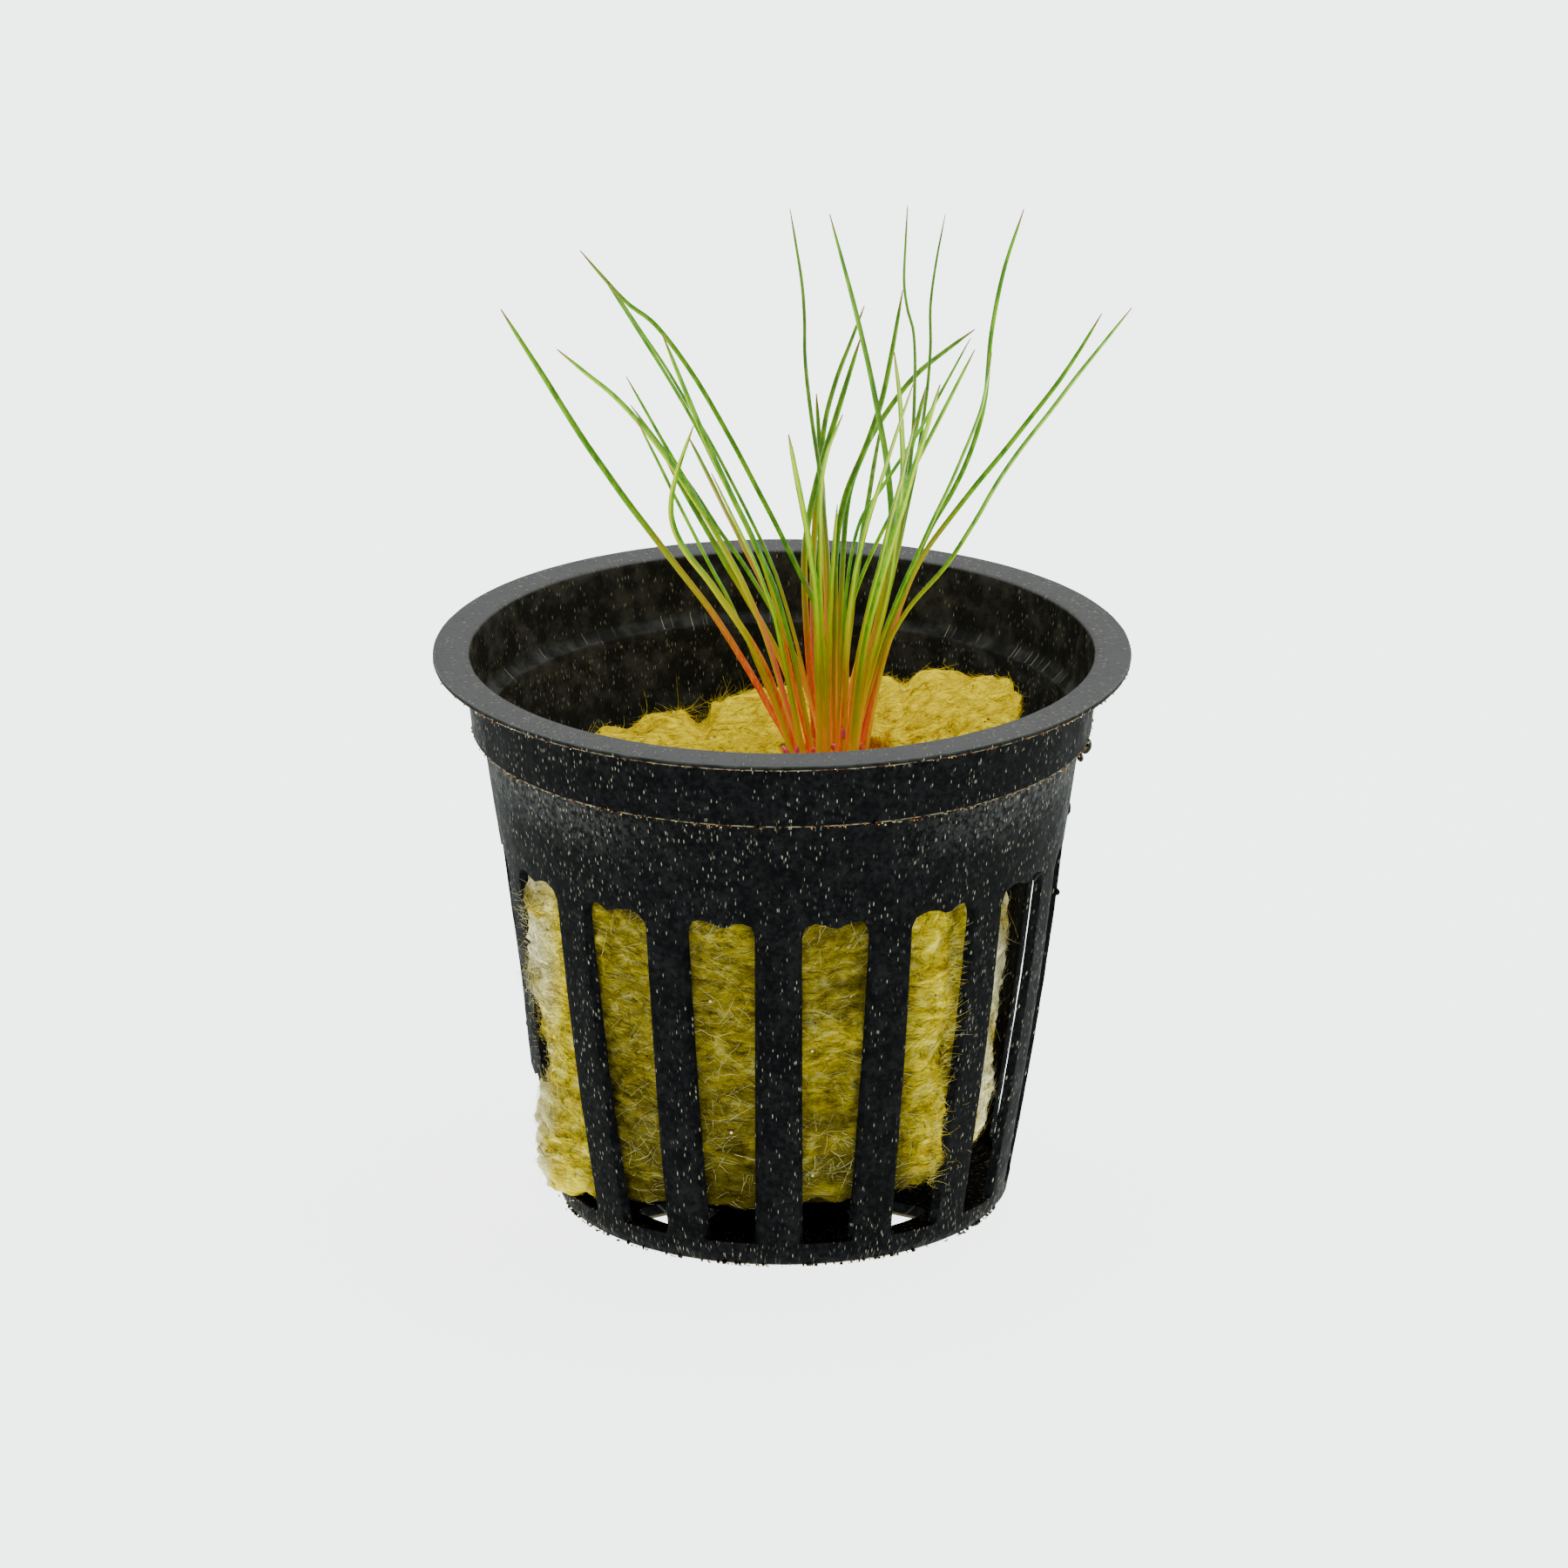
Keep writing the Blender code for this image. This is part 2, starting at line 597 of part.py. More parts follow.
def main():
    clear_scene()
    make_net_pot()
    make_rock_wool()
    make_crown()
    make_leaves()


main()
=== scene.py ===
"""Looks of a tuft of needle leaves rooted in rock wool, in a black net pot.

Lengths are in millimetres up to the moment a mesh is made. +Z is up and the front of the pot
looks along -Y. Angles around the pot are degrees from the front, positive towards +X.
"""

import math

import bmesh
import bpy
import numpy as np
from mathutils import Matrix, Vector, noise
from mathutils.bvhtree import BVHTree


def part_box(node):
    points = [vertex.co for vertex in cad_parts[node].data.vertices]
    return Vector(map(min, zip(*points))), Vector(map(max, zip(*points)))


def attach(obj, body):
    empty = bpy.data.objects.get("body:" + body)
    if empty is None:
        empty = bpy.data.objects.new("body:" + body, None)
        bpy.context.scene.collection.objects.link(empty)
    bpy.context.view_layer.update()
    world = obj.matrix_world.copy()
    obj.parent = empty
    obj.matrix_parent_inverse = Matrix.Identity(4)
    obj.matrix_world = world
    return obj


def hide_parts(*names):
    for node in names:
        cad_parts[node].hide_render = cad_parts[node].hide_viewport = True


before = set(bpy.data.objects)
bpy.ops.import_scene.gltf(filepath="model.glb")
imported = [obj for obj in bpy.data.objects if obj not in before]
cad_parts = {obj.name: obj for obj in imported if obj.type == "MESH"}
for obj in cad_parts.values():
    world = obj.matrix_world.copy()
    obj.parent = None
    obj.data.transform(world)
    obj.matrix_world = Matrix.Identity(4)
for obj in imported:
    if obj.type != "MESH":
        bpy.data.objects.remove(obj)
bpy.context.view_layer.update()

MM = 0.001
BODY = "root"

# Camera: a long lens at the height and angle that the pot is seen from
CAMERA_AIM = (0.14, 0.0, 34.2)
CAMERA_ELEVATION = 19.3
CAMERA_LENS = 450.0
CAMERA_SENSOR = 36.0
FRAME_WIDTH = 123.66

# Net pot: rim, collar, wall and floor
RIM_TOP = 45.4
RIM_RADIUS = 27.5
RIM_MOUTH = 24.7
RIM_THICKNESS = 0.6
COLLAR_RADIUS = 25.1
COLLAR_TAPER = 0.7
COLLAR_BOTTOM = 39.1
LEDGE_TOP = 40.5
LEDGE_BOTTOM = 39.9
LEDGE_DEPTH = 0.8
WALL_BASE_RADIUS = 17.6
WALL_SLOPE = 0.1537
WALL_BOW = 0.35
WALL_BOW_TOP = 30.0
WALL_THICKNESS = 0.6
FLOOR_THICKNESS = 1.1
SLOT_COUNT = 15
PITCH = 360.0 / SLOT_COUNT
SLOT_TURN = -0.8
RIB_HALF = 1.85
RIB_DRAFT = 0.35
SLOT_BOTTOM = 2.2
SLOT_TOP = 30.2
SLOT_CORNER = 1.3
SLOT_LOWER_CORNER = 0.4
SLOT_NUB = 0.55
REAR_SHIFT = 3.5
REAR_SHIFT_MIDDLE = 119.2
REAR_SHIFT_REACH = 47.0
OPENING_COUNT = 4
OPENING_INNER = 9.0
OPENING_OUTER = 13.8
OPENING_SPREAD = 13.0
BROKEN_RIB_ANGLE = SLOT_TURN - 72.0
STUB_TOP = ((-1.85, 2.3), (-0.7, 2.5), (0.5, 2.0), (1.85, 2.2))
STUMP_SPRING = 0.5
STUMP_END = ((-1.85, 12.2), (-0.5, 11.8), (0.9, 12.4), (1.85, 11.8))

# Leaf section: share of the length, half the width and half the thickness
LEAF_SECTION = (
    (0.0, 0.40, 0.20),
    (0.12, 0.33, 0.19),
    (0.35, 0.28, 0.18),
    (0.65, 0.25, 0.17),
    (0.85, 0.22, 0.15),
    (0.95, 0.16, 0.11),
    (1.0, 0.05, 0.04),
)


def wall_radius(height):
    bow = np.sin(math.pi * np.minimum(height, WALL_BOW_TOP) / WALL_BOW_TOP)
    return WALL_BASE_RADIUS + WALL_SLOPE * height + WALL_BOW * bow


def around(radius, angle, height):
    """Points at these radii and heights, at angles in degrees from the front of the pot."""
    turn = np.radians(angle)
    return np.stack(np.broadcast_arrays(radius * np.sin(turn), -radius * np.cos(turn), height), axis=-1)


# Materials

LEAF_GLOW = 0.12
LEAF_FOOT_HEIGHT = 37.0
WRAP_RADIUS = 24.0

# Where colours set in, painted light and shade among them: heights and places across in millimetres, the
# stump's sides in radians
OPEN_TOP = (31.5, 34.5)
WOOL_SHADE = (18.0, 6.0)
FLANKS = ((-13.0, -16.5), (8.5, 12.5))
FAR_SIDES = ((-17.0, -20.2), (14.6, 16.0))
STUMP_SHADE = ((-1.42, -1.38), (-1.22, -1.17))
STUMP_SHADE_TOP = (29.0, 24.0)
LIT_INSIDE_BOTTOM = (30.5, 31.5)
STUDIO_MINT = (235, 244, 239)


class Wire:
    """A socket of a material's nodes, with the operators that its maths is written in."""

    def __init__(self, socket):
        self.socket = socket
        self.tree = socket.id_data

    def maths(self, operation, *terms):
        return node(self.tree, "ShaderNodeMath", {"operation": operation}, dict(enumerate(terms)))

    def out(self, name):
        """Another output of the same node."""
        return Wire(self.socket.node.outputs[name])

    def __add__(self, other):
        return self.maths("ADD", self, other)

    def __sub__(self, other):
        return self.maths("SUBTRACT", self, other)

    def __rsub__(self, other):
        return self.maths("SUBTRACT", other, self)

    def __mul__(self, other):
        return self.maths("MULTIPLY", self, other)

    def __pow__(self, other):
        return self.maths("POWER", self, other)

    __radd__ = __add__
    __rmul__ = __mul__

    def step(self, low, high):
        """Rises smoothly from 0 at low to 1 at high; low may be the greater of the two."""
        settings = {"interpolation_type": "SMOOTHSTEP"}
        return node(self.tree, "ShaderNodeMapRange", settings, {0: self, 1: low, 2: high})


def node(tree, kind, settings=None, sockets=None, output=0):
    """Adds a node: its settings first, then the values or links of its sockets."""
    made = tree.nodes.new(kind)
    for key, value in (settings or {}).items():
        if key == "stops":
            ramp = made.color_ramp
            while len(ramp.elements) < len(value):
                ramp.elements.new(0.5)
            for element, (place, colour) in zip(ramp.elements, value):
                element.position = place
                element.color = (*colour, 1.0)
        else:
            setattr(made, key, value)
    for key, value in (sockets or {}).items():
        if isinstance(value, Wire):
            tree.links.new(value.socket, made.inputs[key])
        else:
            made.inputs[key].default_value = value
    return Wire(made.outputs[output])


def srgb(red, green, blue):
    """A colour given as it looks on screen, from 0 to 255, as the linear values of a shader."""
    shares = (red / 255, green / 255, blue / 255)
    return tuple(c / 12.92 if c <= 0.04045 else ((c + 0.055) / 1.055) ** 2.4 for c in shares)


def mixed(factor, first, second):
    """The first colour where the factor is 0, the second where it is 1."""
    ends = [end if isinstance(end, Wire) else (*end, 1.0) for end in (first, second)]
    return node(
        factor.tree,
        "ShaderNodeMix",
        {"data_type": "RGBA", "clamp_factor": True},
        {"Factor": factor, 6: ends[0], 7: ends[1]},
        output=2,
    )


def ramped(value, *stops):
    return node(value.tree, "ShaderNodeValToRGB", {"stops": stops}, {0: value})


def band(value, rise, fall):
    """1 in a band, given by where it rises from 0 and where it falls back to 0."""
    return value.step(*rise) * (1.0 - value.step(*fall))


def clouds(place, scale, detail=3.0, roughness=0.55, swirl=0.0):
    """Soft noise over a place, with this many cells to a millimetre, drawn out in swirls."""
    sockets = {
        "Vector": place,
        "Scale": scale,
        "Detail": detail,
        "Roughness": roughness,
        "Distortion": swirl,
    }
    return node(place.tree, "ShaderNodeTexNoise", {}, sockets)


def cells(place, scale, flat=False):
    """Distance to the nearest of many scattered points, with this many to a millimetre."""
    settings = {"voronoi_dimensions": "2D" if flat else "3D"}
    return node(place.tree, "ShaderNodeTexVoronoi", settings, {"Vector": place, "Scale": scale})


def scaled(vector, factors):
    return node(vector.tree, "ShaderNodeVectorMath", {"operation": "MULTIPLY"}, {0: vector, 1: factors})


def joined(x, y, z=0.0):
    return node(x.tree, "ShaderNodeCombineXYZ", {}, {0: x, 1: y, 2: z})


def attribute(tree, name, output="Fac"):
    return node(tree, "ShaderNodeAttribute", {"attribute_name": name}, output=output)


def new_finish(name):
    """A material with its tree, its surface shader and the place on the object in millimetres."""
    material = bpy.data.materials.new(name)
    material.use_nodes = True
    tree = material.node_tree
    shader = tree.nodes["Principled BSDF"]
    place = node(tree, "ShaderNodeTexCoord", {}, {}, output="Object")
    return material, tree, shader, scaled(place, (1 / MM, 1 / MM, 1 / MM))


def connect(shader, **sockets):
    """Links or sets the surface shader's sockets, named with underscores for spaces."""
    for key, value in sockets.items():
        socket = shader.inputs[key.replace("_", " ")]
        if isinstance(value, Wire):
            shader.id_data.links.new(value.socket, socket)
        else:
            socket.default_value = value


def bumped(height, strength, depth):
    sockets = {"Height": height, "Strength": strength, "Distance": depth * MM}
    return node(height.tree, "ShaderNodeBump", {}, sockets)


def pot_plastic():
    """Charcoal plastic, dusty, with pale dashes that run up and down and dirt along its edges; lighter on
    top of the rim and inside the mouth as painted light, near-black on the snapped rib's stump as painted
    shade.
    """
    material, tree, shader, place = new_finish("pot_plastic")
    split = node(tree, "ShaderNodeSeparateXYZ", {}, {0: place})
    x, y, z = split, split.out("Y"), split.out("Z")
    radius = (x * x + y * y) ** 0.5
    turn = x.maths("ARCTAN2", x, 0.0 - y)
    wrapped = joined(turn * WRAP_RADIUS, (z - radius) * 0.3)
    dust = clouds(place, 0.5, 5.0, 0.6)
    mottle = clouds(place, 1.9, 5.0, 0.7)
    crowd = clouds(place, 0.16, 3.0)
    fine = cells(wrapped, 7.2, flat=True)
    coarse = cells(wrapped, 4.4, flat=True)
    fine_tint = node(tree, "ShaderNodeSeparateColor", {}, {0: fine.out("Color")})
    coarse_tint = node(tree, "ShaderNodeSeparateColor", {}, {0: coarse.out("Color")})
    thick = crowd.step(0.42, 0.66)
    above = z - COLLAR_BOTTOM
    below_collar = band(above, (-5.6, -1.1), (-0.2, 0.2))
    foot = 1.0 - z.step(1.0, 4.5)
    flanks = turn.maths("ABSOLUTE", turn).step(0.35, 0.9)
    density = thick * 0.08 + below_collar * (0.02 + flanks * 0.16) + foot * 0.1 + flanks * 0.08 + 0.06
    density = density + z.step(RIM_TOP - 0.3, RIM_TOP - 0.1) * 0.1
    fine_dashes = (1.0 - fine.step(0.16, 0.40)) * (density - fine_tint).step(0.0, 0.03)
    coarse_dashes = (1.0 - coarse.step(0.12, 0.28)) * (density * 0.35 - coarse_tint).step(0.0, 0.03)
    dashes = fine_dashes.maths("MAXIMUM", fine_dashes, coarse_dashes)
    rough_line = clouds(joined(turn * WRAP_RADIUS, z), 1.6, 4.0).step(0.36, 0.62)
    rim_line = band(z - (RIM_TOP - RIM_THICKNESS), (-0.1, 0.0), (0.06, 0.2))
    rim_line = rim_line * radius.step(RIM_RADIUS - 0.4, RIM_RADIUS - 0.2)
    collar_line = band(above, (-0.12, -0.04), (0.04, 0.18))
    collar_line = collar_line * (radius - (COLLAR_RADIUS - COLLAR_TAPER)).step(-0.3, -0.1)
    foot_line = 1.0 - z.step(0.05, 0.35)
    edge_dirt = (rim_line * 0.45 + collar_line * 0.7 + foot_line * 0.5) * rough_line
    scuffed = (dust * 0.4 + mottle * 0.6 + below_collar * flanks * 0.12).step(0.4, 0.68)
    base = mixed(scuffed, srgb(5, 5, 6), srgb(23, 23, 24))
    base = mixed(below_collar * flanks * mottle.step(0.42, 0.6), base, srgb(50, 50, 50))
    # Painted shade: the snapped rib's stump is made near-black below its top, where it lies in shade.
    stump = z.step(*STUMP_SHADE_TOP) * band(turn, *STUMP_SHADE)
    base = mixed(stump * 0.9, base, srgb(2, 2, 2))
    # Painted light: the inner skin above the slots is made lighter grey than the black outside, as if lit
    # inside the mouth.
    lit_inside = mixed(dust.step(0.4, 0.7), srgb(28, 29, 27), srgb(58, 58, 55))
    base = mixed(attribute(tree, "inside") * z.step(*LIT_INSIDE_BOTTOM), base, lit_inside)
    # Painted light: the top face of the rim is made lighter grey, as if lit from above.
    base = mixed(z.step(RIM_TOP - 0.25, RIM_TOP - 0.08) * 0.85, base, srgb(86, 86, 87))
    dash_colour = mixed(fine_tint.out("Green").step(0.45, 1.0), srgb(62, 61, 57), srgb(150, 146, 126))
    dirt_colour = mixed(rough_line.step(0.2, 0.6), srgb(160, 92, 36), srgb(150, 140, 112))
    colour = mixed(edge_dirt, mixed(dashes * 0.75, base, dash_colour), dirt_colour)
    relief = dust * 0.6 + mottle * (0.5 + below_collar * flanks * 1.6) + dashes * 0.35
    connect(
        shader,
        Base_Color=colour,
        Roughness=0.5 + dust.step(0.3, 0.75) * 0.25,
        Specular_IOR_Level=0.01,
        Normal=bumped(relief, 0.35, 0.12),
    )
    return material


def wool_colour(tree, place):
    """Bright yellow where the wool lies open on top, khaki behind the slots, cream at both sides: partly
    the wool's own colour, partly painted light and shade, brighter on top as if lit from above, lighter at
    the sides as if lit by the side lamps, darker low down.
    """
    split = node(tree, "ShaderNodeSeparateXYZ", {}, {0: place})
    x, z = split, split.out("Z")
    tufts = clouds(place, 0.42, 5.0, 0.62, 1.2)
    streaks = clouds(scaled(place, (0.6, 0.6, 2.6)), 1.3, 5.0, 0.7, 1.4)
    patches = clouds(place, 0.17, 2.0)
    shade = tufts * 0.5 + streaks * 0.5
    # The top and side ramps are lit and shaded copies of the wool's colour: the top partly its own yellow
    # and partly painted light from above, the sides partly their own khaki and partly painted shade from
    # the pot.
    top = ramped(
        shade,
        (0.36, srgb(112, 84, 0)),
        (0.44, srgb(188, 160, 0)),
        (0.54, srgb(222, 198, 0)),
        (0.66, srgb(240, 220, 12)),
    )
    side = ramped(
        shade,
        (0.35, srgb(44, 36, 0)),
        (0.44, srgb(88, 76, 8)),
        (0.54, srgb(114, 101, 22)),
        (0.66, srgb(146, 139, 78)),
    )
    lit = ramped(
        shade,
        (0.37, srgb(108, 84, 0)),
        (0.46, srgb(172, 148, 0)),
        (0.55, srgb(206, 186, 14)),
        (0.66, srgb(232, 224, 136)),
    )
    # Painted light: the flanks, and random patches elsewhere, take the lit copy of the colours, and the
    # far sides turn pale cream, as if lit by the side lamps.
    left, right = FLANKS
    flank = x.step(*left) + x.step(*right)
    # Painted shade: the wool behind the slots darkens towards the bottom of the pot.
    side_shaded_low = mixed(z.step(*WOOL_SHADE) * 0.7, side, srgb(26, 22, 2))
    wall = mixed(flank * 0.9 + patches.step(0.5, 0.7) * 0.2, side_shaded_low, lit)
    far_left, far_right = FAR_SIDES
    far = x.step(*far_left) + x.step(*far_right) * 0.8
    side_light_cream = far * (patches + shade).step(0.8, 1.1)
    wall = mixed(side_light_cream * 0.85, wall, srgb(224, 221, 192))
    return mixed(z.step(*OPEN_TOP), wall, top), tufts


def wool_fibre():
    """The felted body of the wool."""
    material, tree, shader, place = new_finish("wool_fibre")
    colour, tufts = wool_colour(tree, place)
    grit = cells(place, 0.55)
    specks = (1.0 - grit.step(0.05, 0.10)) * 0.8
    relief = tufts + clouds(place, 2.2, 5.0, 0.7) * 0.6
    connect(
        shader,
        Base_Color=mixed(specks, colour, srgb(120, 84, 20)),
        Roughness=0.95,
        Specular_IOR_Level=0.02,
        Normal=bumped(relief, 0.7, 0.4),
    )
    return material


def wool_strand():
    """Single fibres: the colour of the wool they lie on, from translucent cream to amber."""
    material, tree, shader, place = new_finish("wool_strand")
    colour, _ = wool_colour(tree, place)
    tone = attribute(tree, "tone")
    z = node(tree, "ShaderNodeSeparateXYZ", {}, {0: place}).out("Z")
    # Painted light and shade: fibres on the open top take brighter copies of both tones than those at the
    # sides, as the wool does.
    fair = mixed(z.step(*OPEN_TOP), srgb(200, 192, 128), srgb(236, 222, 44))
    deep = mixed(z.step(*OPEN_TOP), srgb(38, 31, 0), srgb(150, 116, 0))
    pale = mixed(tone.step(0.72, 0.98) * 0.85, colour, fair)
    connect(
        shader,
        Base_Color=mixed((1.0 - tone.step(0.04, 0.42)) * 0.8, pale, deep),
        Roughness=0.7,
        Specular_IOR_Level=0.02,
    )
    return material


def leaf_green():
    """Orange or pink at the foot, olive, green along the blade, and purple-brown at the tip.

    The blades are thin and let light through, which a faint glow of their own stands for.
    """
    material, tree, shader, place = new_finish("leaf_green")
    along = attribute(tree, "along")
    tone = attribute(tree, "tone")
    under = attribute(tree, "under")
    height = node(tree, "ShaderNodeSeparateXYZ", {}, {0: place}).out("Z")
    mottle = clouds(scaled(place, (1.0, 1.0, 0.3)), 1.3, 3.0)
    rise = (height - LEAF_FOOT_HEIGHT) * 0.05 + (mottle - 0.5) * 0.25 + (tone - 0.5) * 0.5
    streak = clouds(scaled(place, (1.0, 1.0, 0.12)), 4.0, 3.0).step(0.4, 0.6)
    warm = mixed(tone.step(0.3, 0.6), srgb(250, 84, 12), srgb(250, 160, 26))
    warm = mixed(streak * 0.4, warm, srgb(252, 190, 74))
    warm = mixed((1.0 - tone.step(0.05, 0.25)) * 0.8, warm, srgb(250, 120, 84))
    olive = mixed(mottle, srgb(206, 172, 20), srgb(146, 156, 16))
    green = mixed(mottle.step(0.35, 0.65), srgb(58, 118, 8), srgb(104, 162, 10))
    body = mixed(rise.step(0.22, 0.56), warm, olive)
    body = mixed(rise.step(0.5, 0.9), body, green)
    # Painted light and shade: the outward-facing side of each blade turns yellow as if rim-lit, and the
    # inward side turns darker brown as if in shade.
    edge_lit = mixed(under.step(0.45, 0.9) * 0.8, body, srgb(186, 188, 8))
    shaded = mixed(under.step(-0.35, -0.9) * 0.5, edge_lit, srgb(70, 52, 34))
    tip = along.step(0.95, 0.995) * 0.85
    colour = mixed(tip, shaded, srgb(132, 84, 44))
    connect(
        shader,
        Base_Color=colour,
        Emission_Color=colour,
        Emission_Strength=LEAF_GLOW,
        Roughness=0.38,
        Specular_IOR_Level=0.12,
        Normal=bumped(clouds(scaled(place, (1.0, 1.0, 0.2)), 3.0, 3.0), 0.2, 0.08),
    )
    return material


def crown_tissue():
    """Young sheaths at the foot of the tuft: pink, orange and magenta."""
    material, tree, shader, place = new_finish("crown_tissue")
    tone = attribute(tree, "tone")
    mottle = clouds(scaled(place, (1.0, 1.0, 0.4)), 1.4, 3.0)
    base = mixed(tone, srgb(214, 92, 30), srgb(206, 134, 34))
    connect(
        shader,
        Base_Color=mixed((tone * 0.5 + mottle * 0.5).step(0.45, 0.6), base, srgb(232, 84, 118)),
        Roughness=0.42,
        Normal=bumped(mottle, 0.25, 0.1),
    )
    return material


def dirt():
    """Grains of peat and lime: orange, brown and cream."""
    material, tree, shader, _ = new_finish("dirt")
    tone = attribute(tree, "tone")
    colour = ramped(
        tone,
        (0.0, srgb(58, 30, 12)),
        (0.4, srgb(150, 84, 24)),
        (0.7, srgb(176, 132, 70)),
        (1.0, srgb(210, 200, 170)),
    )
    connect(shader, Base_Color=colour, Roughness=0.9, Specular_IOR_Level=0.1)
    return material


def wool_shot():
    """Beads of glass that the fibres were drawn from, pale and clear of colour."""
    material, _, shader, _ = new_finish("wool_shot")
    connect(shader, Base_Color=(*srgb(226, 224, 204), 1.0), Roughness=0.15, Specular_IOR_Level=0.5)
    return material


def floor_paint():
    """Pale mint, even, so that the floor runs into the light around it."""
    material, _, shader, _ = new_finish("floor_paint")
    connect(
        shader,
        Base_Color=(*srgb(150, 156, 153), 1.0),
        Roughness=0.9,
        Specular_IOR_Level=0.1,
        Emission_Color=(*srgb(*STUDIO_MINT), 1.0),
        Emission_Strength=4.2,
    )
    return material


# Meshes

FLOW_SEEDS = (0.0, 31.0, 57.0)


def mesh_of(name, points, faces):
    mesh = bpy.data.meshes.new(name)
    mesh.from_pydata((np.asarray(points) * MM).tolist(), [], faces)
    mesh.shade_smooth()
    return mesh


def give(mesh, name, values):
    """Stores one number for each point of the mesh, for its material to read."""
    data = mesh.attributes.new(name, "FLOAT", "POINT").data
    data.foreach_set("value", np.asarray(values, dtype=np.float32))


def add_piece(name, mesh, finish, slot, *nodes):
    mesh.materials.append(finish)
    piece = bpy.data.objects.new(name, mesh)
    bpy.context.scene.collection.objects.link(piece)
    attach(piece, BODY)
    if nodes:
        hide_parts(*nodes)
    return piece


def waves(points, scale, seed):
    """Soft noise between -1 and 1 at each point."""
    shift = Vector((seed, 2.7 * seed, -1.3 * seed))
    return np.array([noise.noise(Vector(p) * scale + shift) for p in points])


def flow(points, scale, seed):
    """Soft noise in three directions at each point."""
    return np.stack([waves(points, scale, seed + apart) for apart in FLOW_SEEDS], axis=1)


def unit(vectors):
    return vectors / np.maximum(np.linalg.norm(vectors, axis=-1, keepdims=True), 1e-9)


def hump(value, middle, width):
    """1 at the middle, falling off smoothly on both sides."""
    return np.exp(-(((value - middle) / width) ** 2))


def ramp(value, low, high):
    """Rises smoothly from 0 at low to 1 at high; low may be the greater of the two."""
    share = np.clip((value - low) / (high - low), 0.0, 1.0)
    return share * share * (3.0 - 2.0 * share)


# Net pot

RIB_STATIONS = (0.0, 0.34, 0.68)
ARC_STATIONS = 4
MIDDLE_STATIONS = 6
SLOT_MIDDLE = 3.0
WARP_TOP = SLOT_TOP + 1.4
WARP_BOTTOM = 1.6
CORNER_TOP = SLOT_TOP - SLOT_CORNER
CORNER_BOTTOM = SLOT_BOTTOM + SLOT_LOWER_CORNER
SLOT_END_SHARE = 0.93
SLOT_END_RISE = 0.2
NUB_WIDTH = 0.6
ROW_STEP = 0.62
CORNER_ROWS = 5
WALL_TOP = 38.3
WALL_TOP_ROWS = 10
FLOOR_RINGS = (1.5, 4.0, 6.5, 8.2, OPENING_INNER, 9.9, 11.0, 12.1, 13.1, OPENING_OUTER, 14.6)
FLOOR_REACH = 15.0
FOOT_REACH = 16.0
FOOT_TOP = 0.95
STUMP_SPRING_LOW = 8.0
STUMP_SPRING_LENGTH = 18.0
OPENING_ROUNDING = 0.3
EDGE_SOFTENING = 0.05
SOFTENED_ANGLE = 50.0
SLACK = 0.01

# Unevenness of the moulding: cells to a millimetre, seed and depth
WOBBLES = ((0.07, 2.0, 0.10), (0.9, 4.0, 0.03))

# Rounding of the foot: in from the wall and height outside, in and height over the floor inside
FOOT_PROFILE = (
    (1.0, 0.0, 1.6, 0.0),
    (0.6, 0.08, 1.15, 0.1),
    (0.25, 0.32, 0.8, 0.3),
)

# Collar above its foot: how far out and how high, outside and then inside
COLLAR_PROFILE = (
    (0.0, COLLAR_BOTTOM + 0.16, 0.0, LEDGE_TOP + 0.05),
    (0.08, 40.0, 0.05, 41.2),
    (0.26, 41.4, 0.22, 42.6),
    (0.42, 42.8, 0.4, 43.9),
    (0.58, 44.1, 0.54, 44.85),
)

# Rings on the flat of the rim: radius below and radius on top
RIM_RINGS = (
    (25.7, RIM_MOUTH + 0.1),
    (26.3, 25.6),
    (26.9, 26.6),
    (RIM_RADIUS - 0.2, RIM_RADIUS - 0.18),
)


def slot_stations():
    """Where the columns stand across a slot, from 0 at its middle to 1 at its side."""
    flat = 1.0 - SLOT_CORNER / SLOT_MIDDLE
    middle = [flat * i / (MIDDLE_STATIONS // 2) for i in range(MIDDLE_STATIONS // 2 + 1)]
    corner = [
        flat + (1.0 - flat) * math.sin(math.pi / 2 * (i + 1) / ARC_STATIONS)
        for i in range(ARC_STATIONS)
    ]
    half = middle + corner
    return [-u for u in reversed(half[1:])] + half


def columns():
    """For each column around the pot: is it in a slot, the middle it is measured from, its place."""
    listed = []
    for rib in range(SLOT_COUNT):
        listed += [(False, rib * PITCH, share) for share in RIB_STATIONS]
        listed += [(True, (rib + 0.5) * PITCH, u) for u in slot_stations()]
        listed += [(False, (rib + 1) * PITCH, -share) for share in reversed(RIB_STATIONS[1:])]
    in_slot, middle, place = zip(*listed)
    return np.array(in_slot), np.array(middle) + SLOT_TURN, np.array(place)


def column_angles(radius, rib_half):
    """The angle of each column at a radius; ribs keep one width all the way up.

    The slots behind the right-hand side stand a little forward of even spacing.
    """
    in_slot, middle, place = columns()
    side = math.degrees(math.asin(rib_half / radius))
    rib = middle + np.degrees(np.arcsin(np.where(in_slot, 0.0, place) * rib_half / radius))
    slot = middle + place * (PITCH / 2 - side)
    even = np.where(in_slot, slot, rib)
    aside = np.minimum(1.0, np.abs(even - REAR_SHIFT_MIDDLE) / REAR_SHIFT_REACH)
    return even - REAR_SHIFT * np.cos(aside * math.pi / 2) ** 2


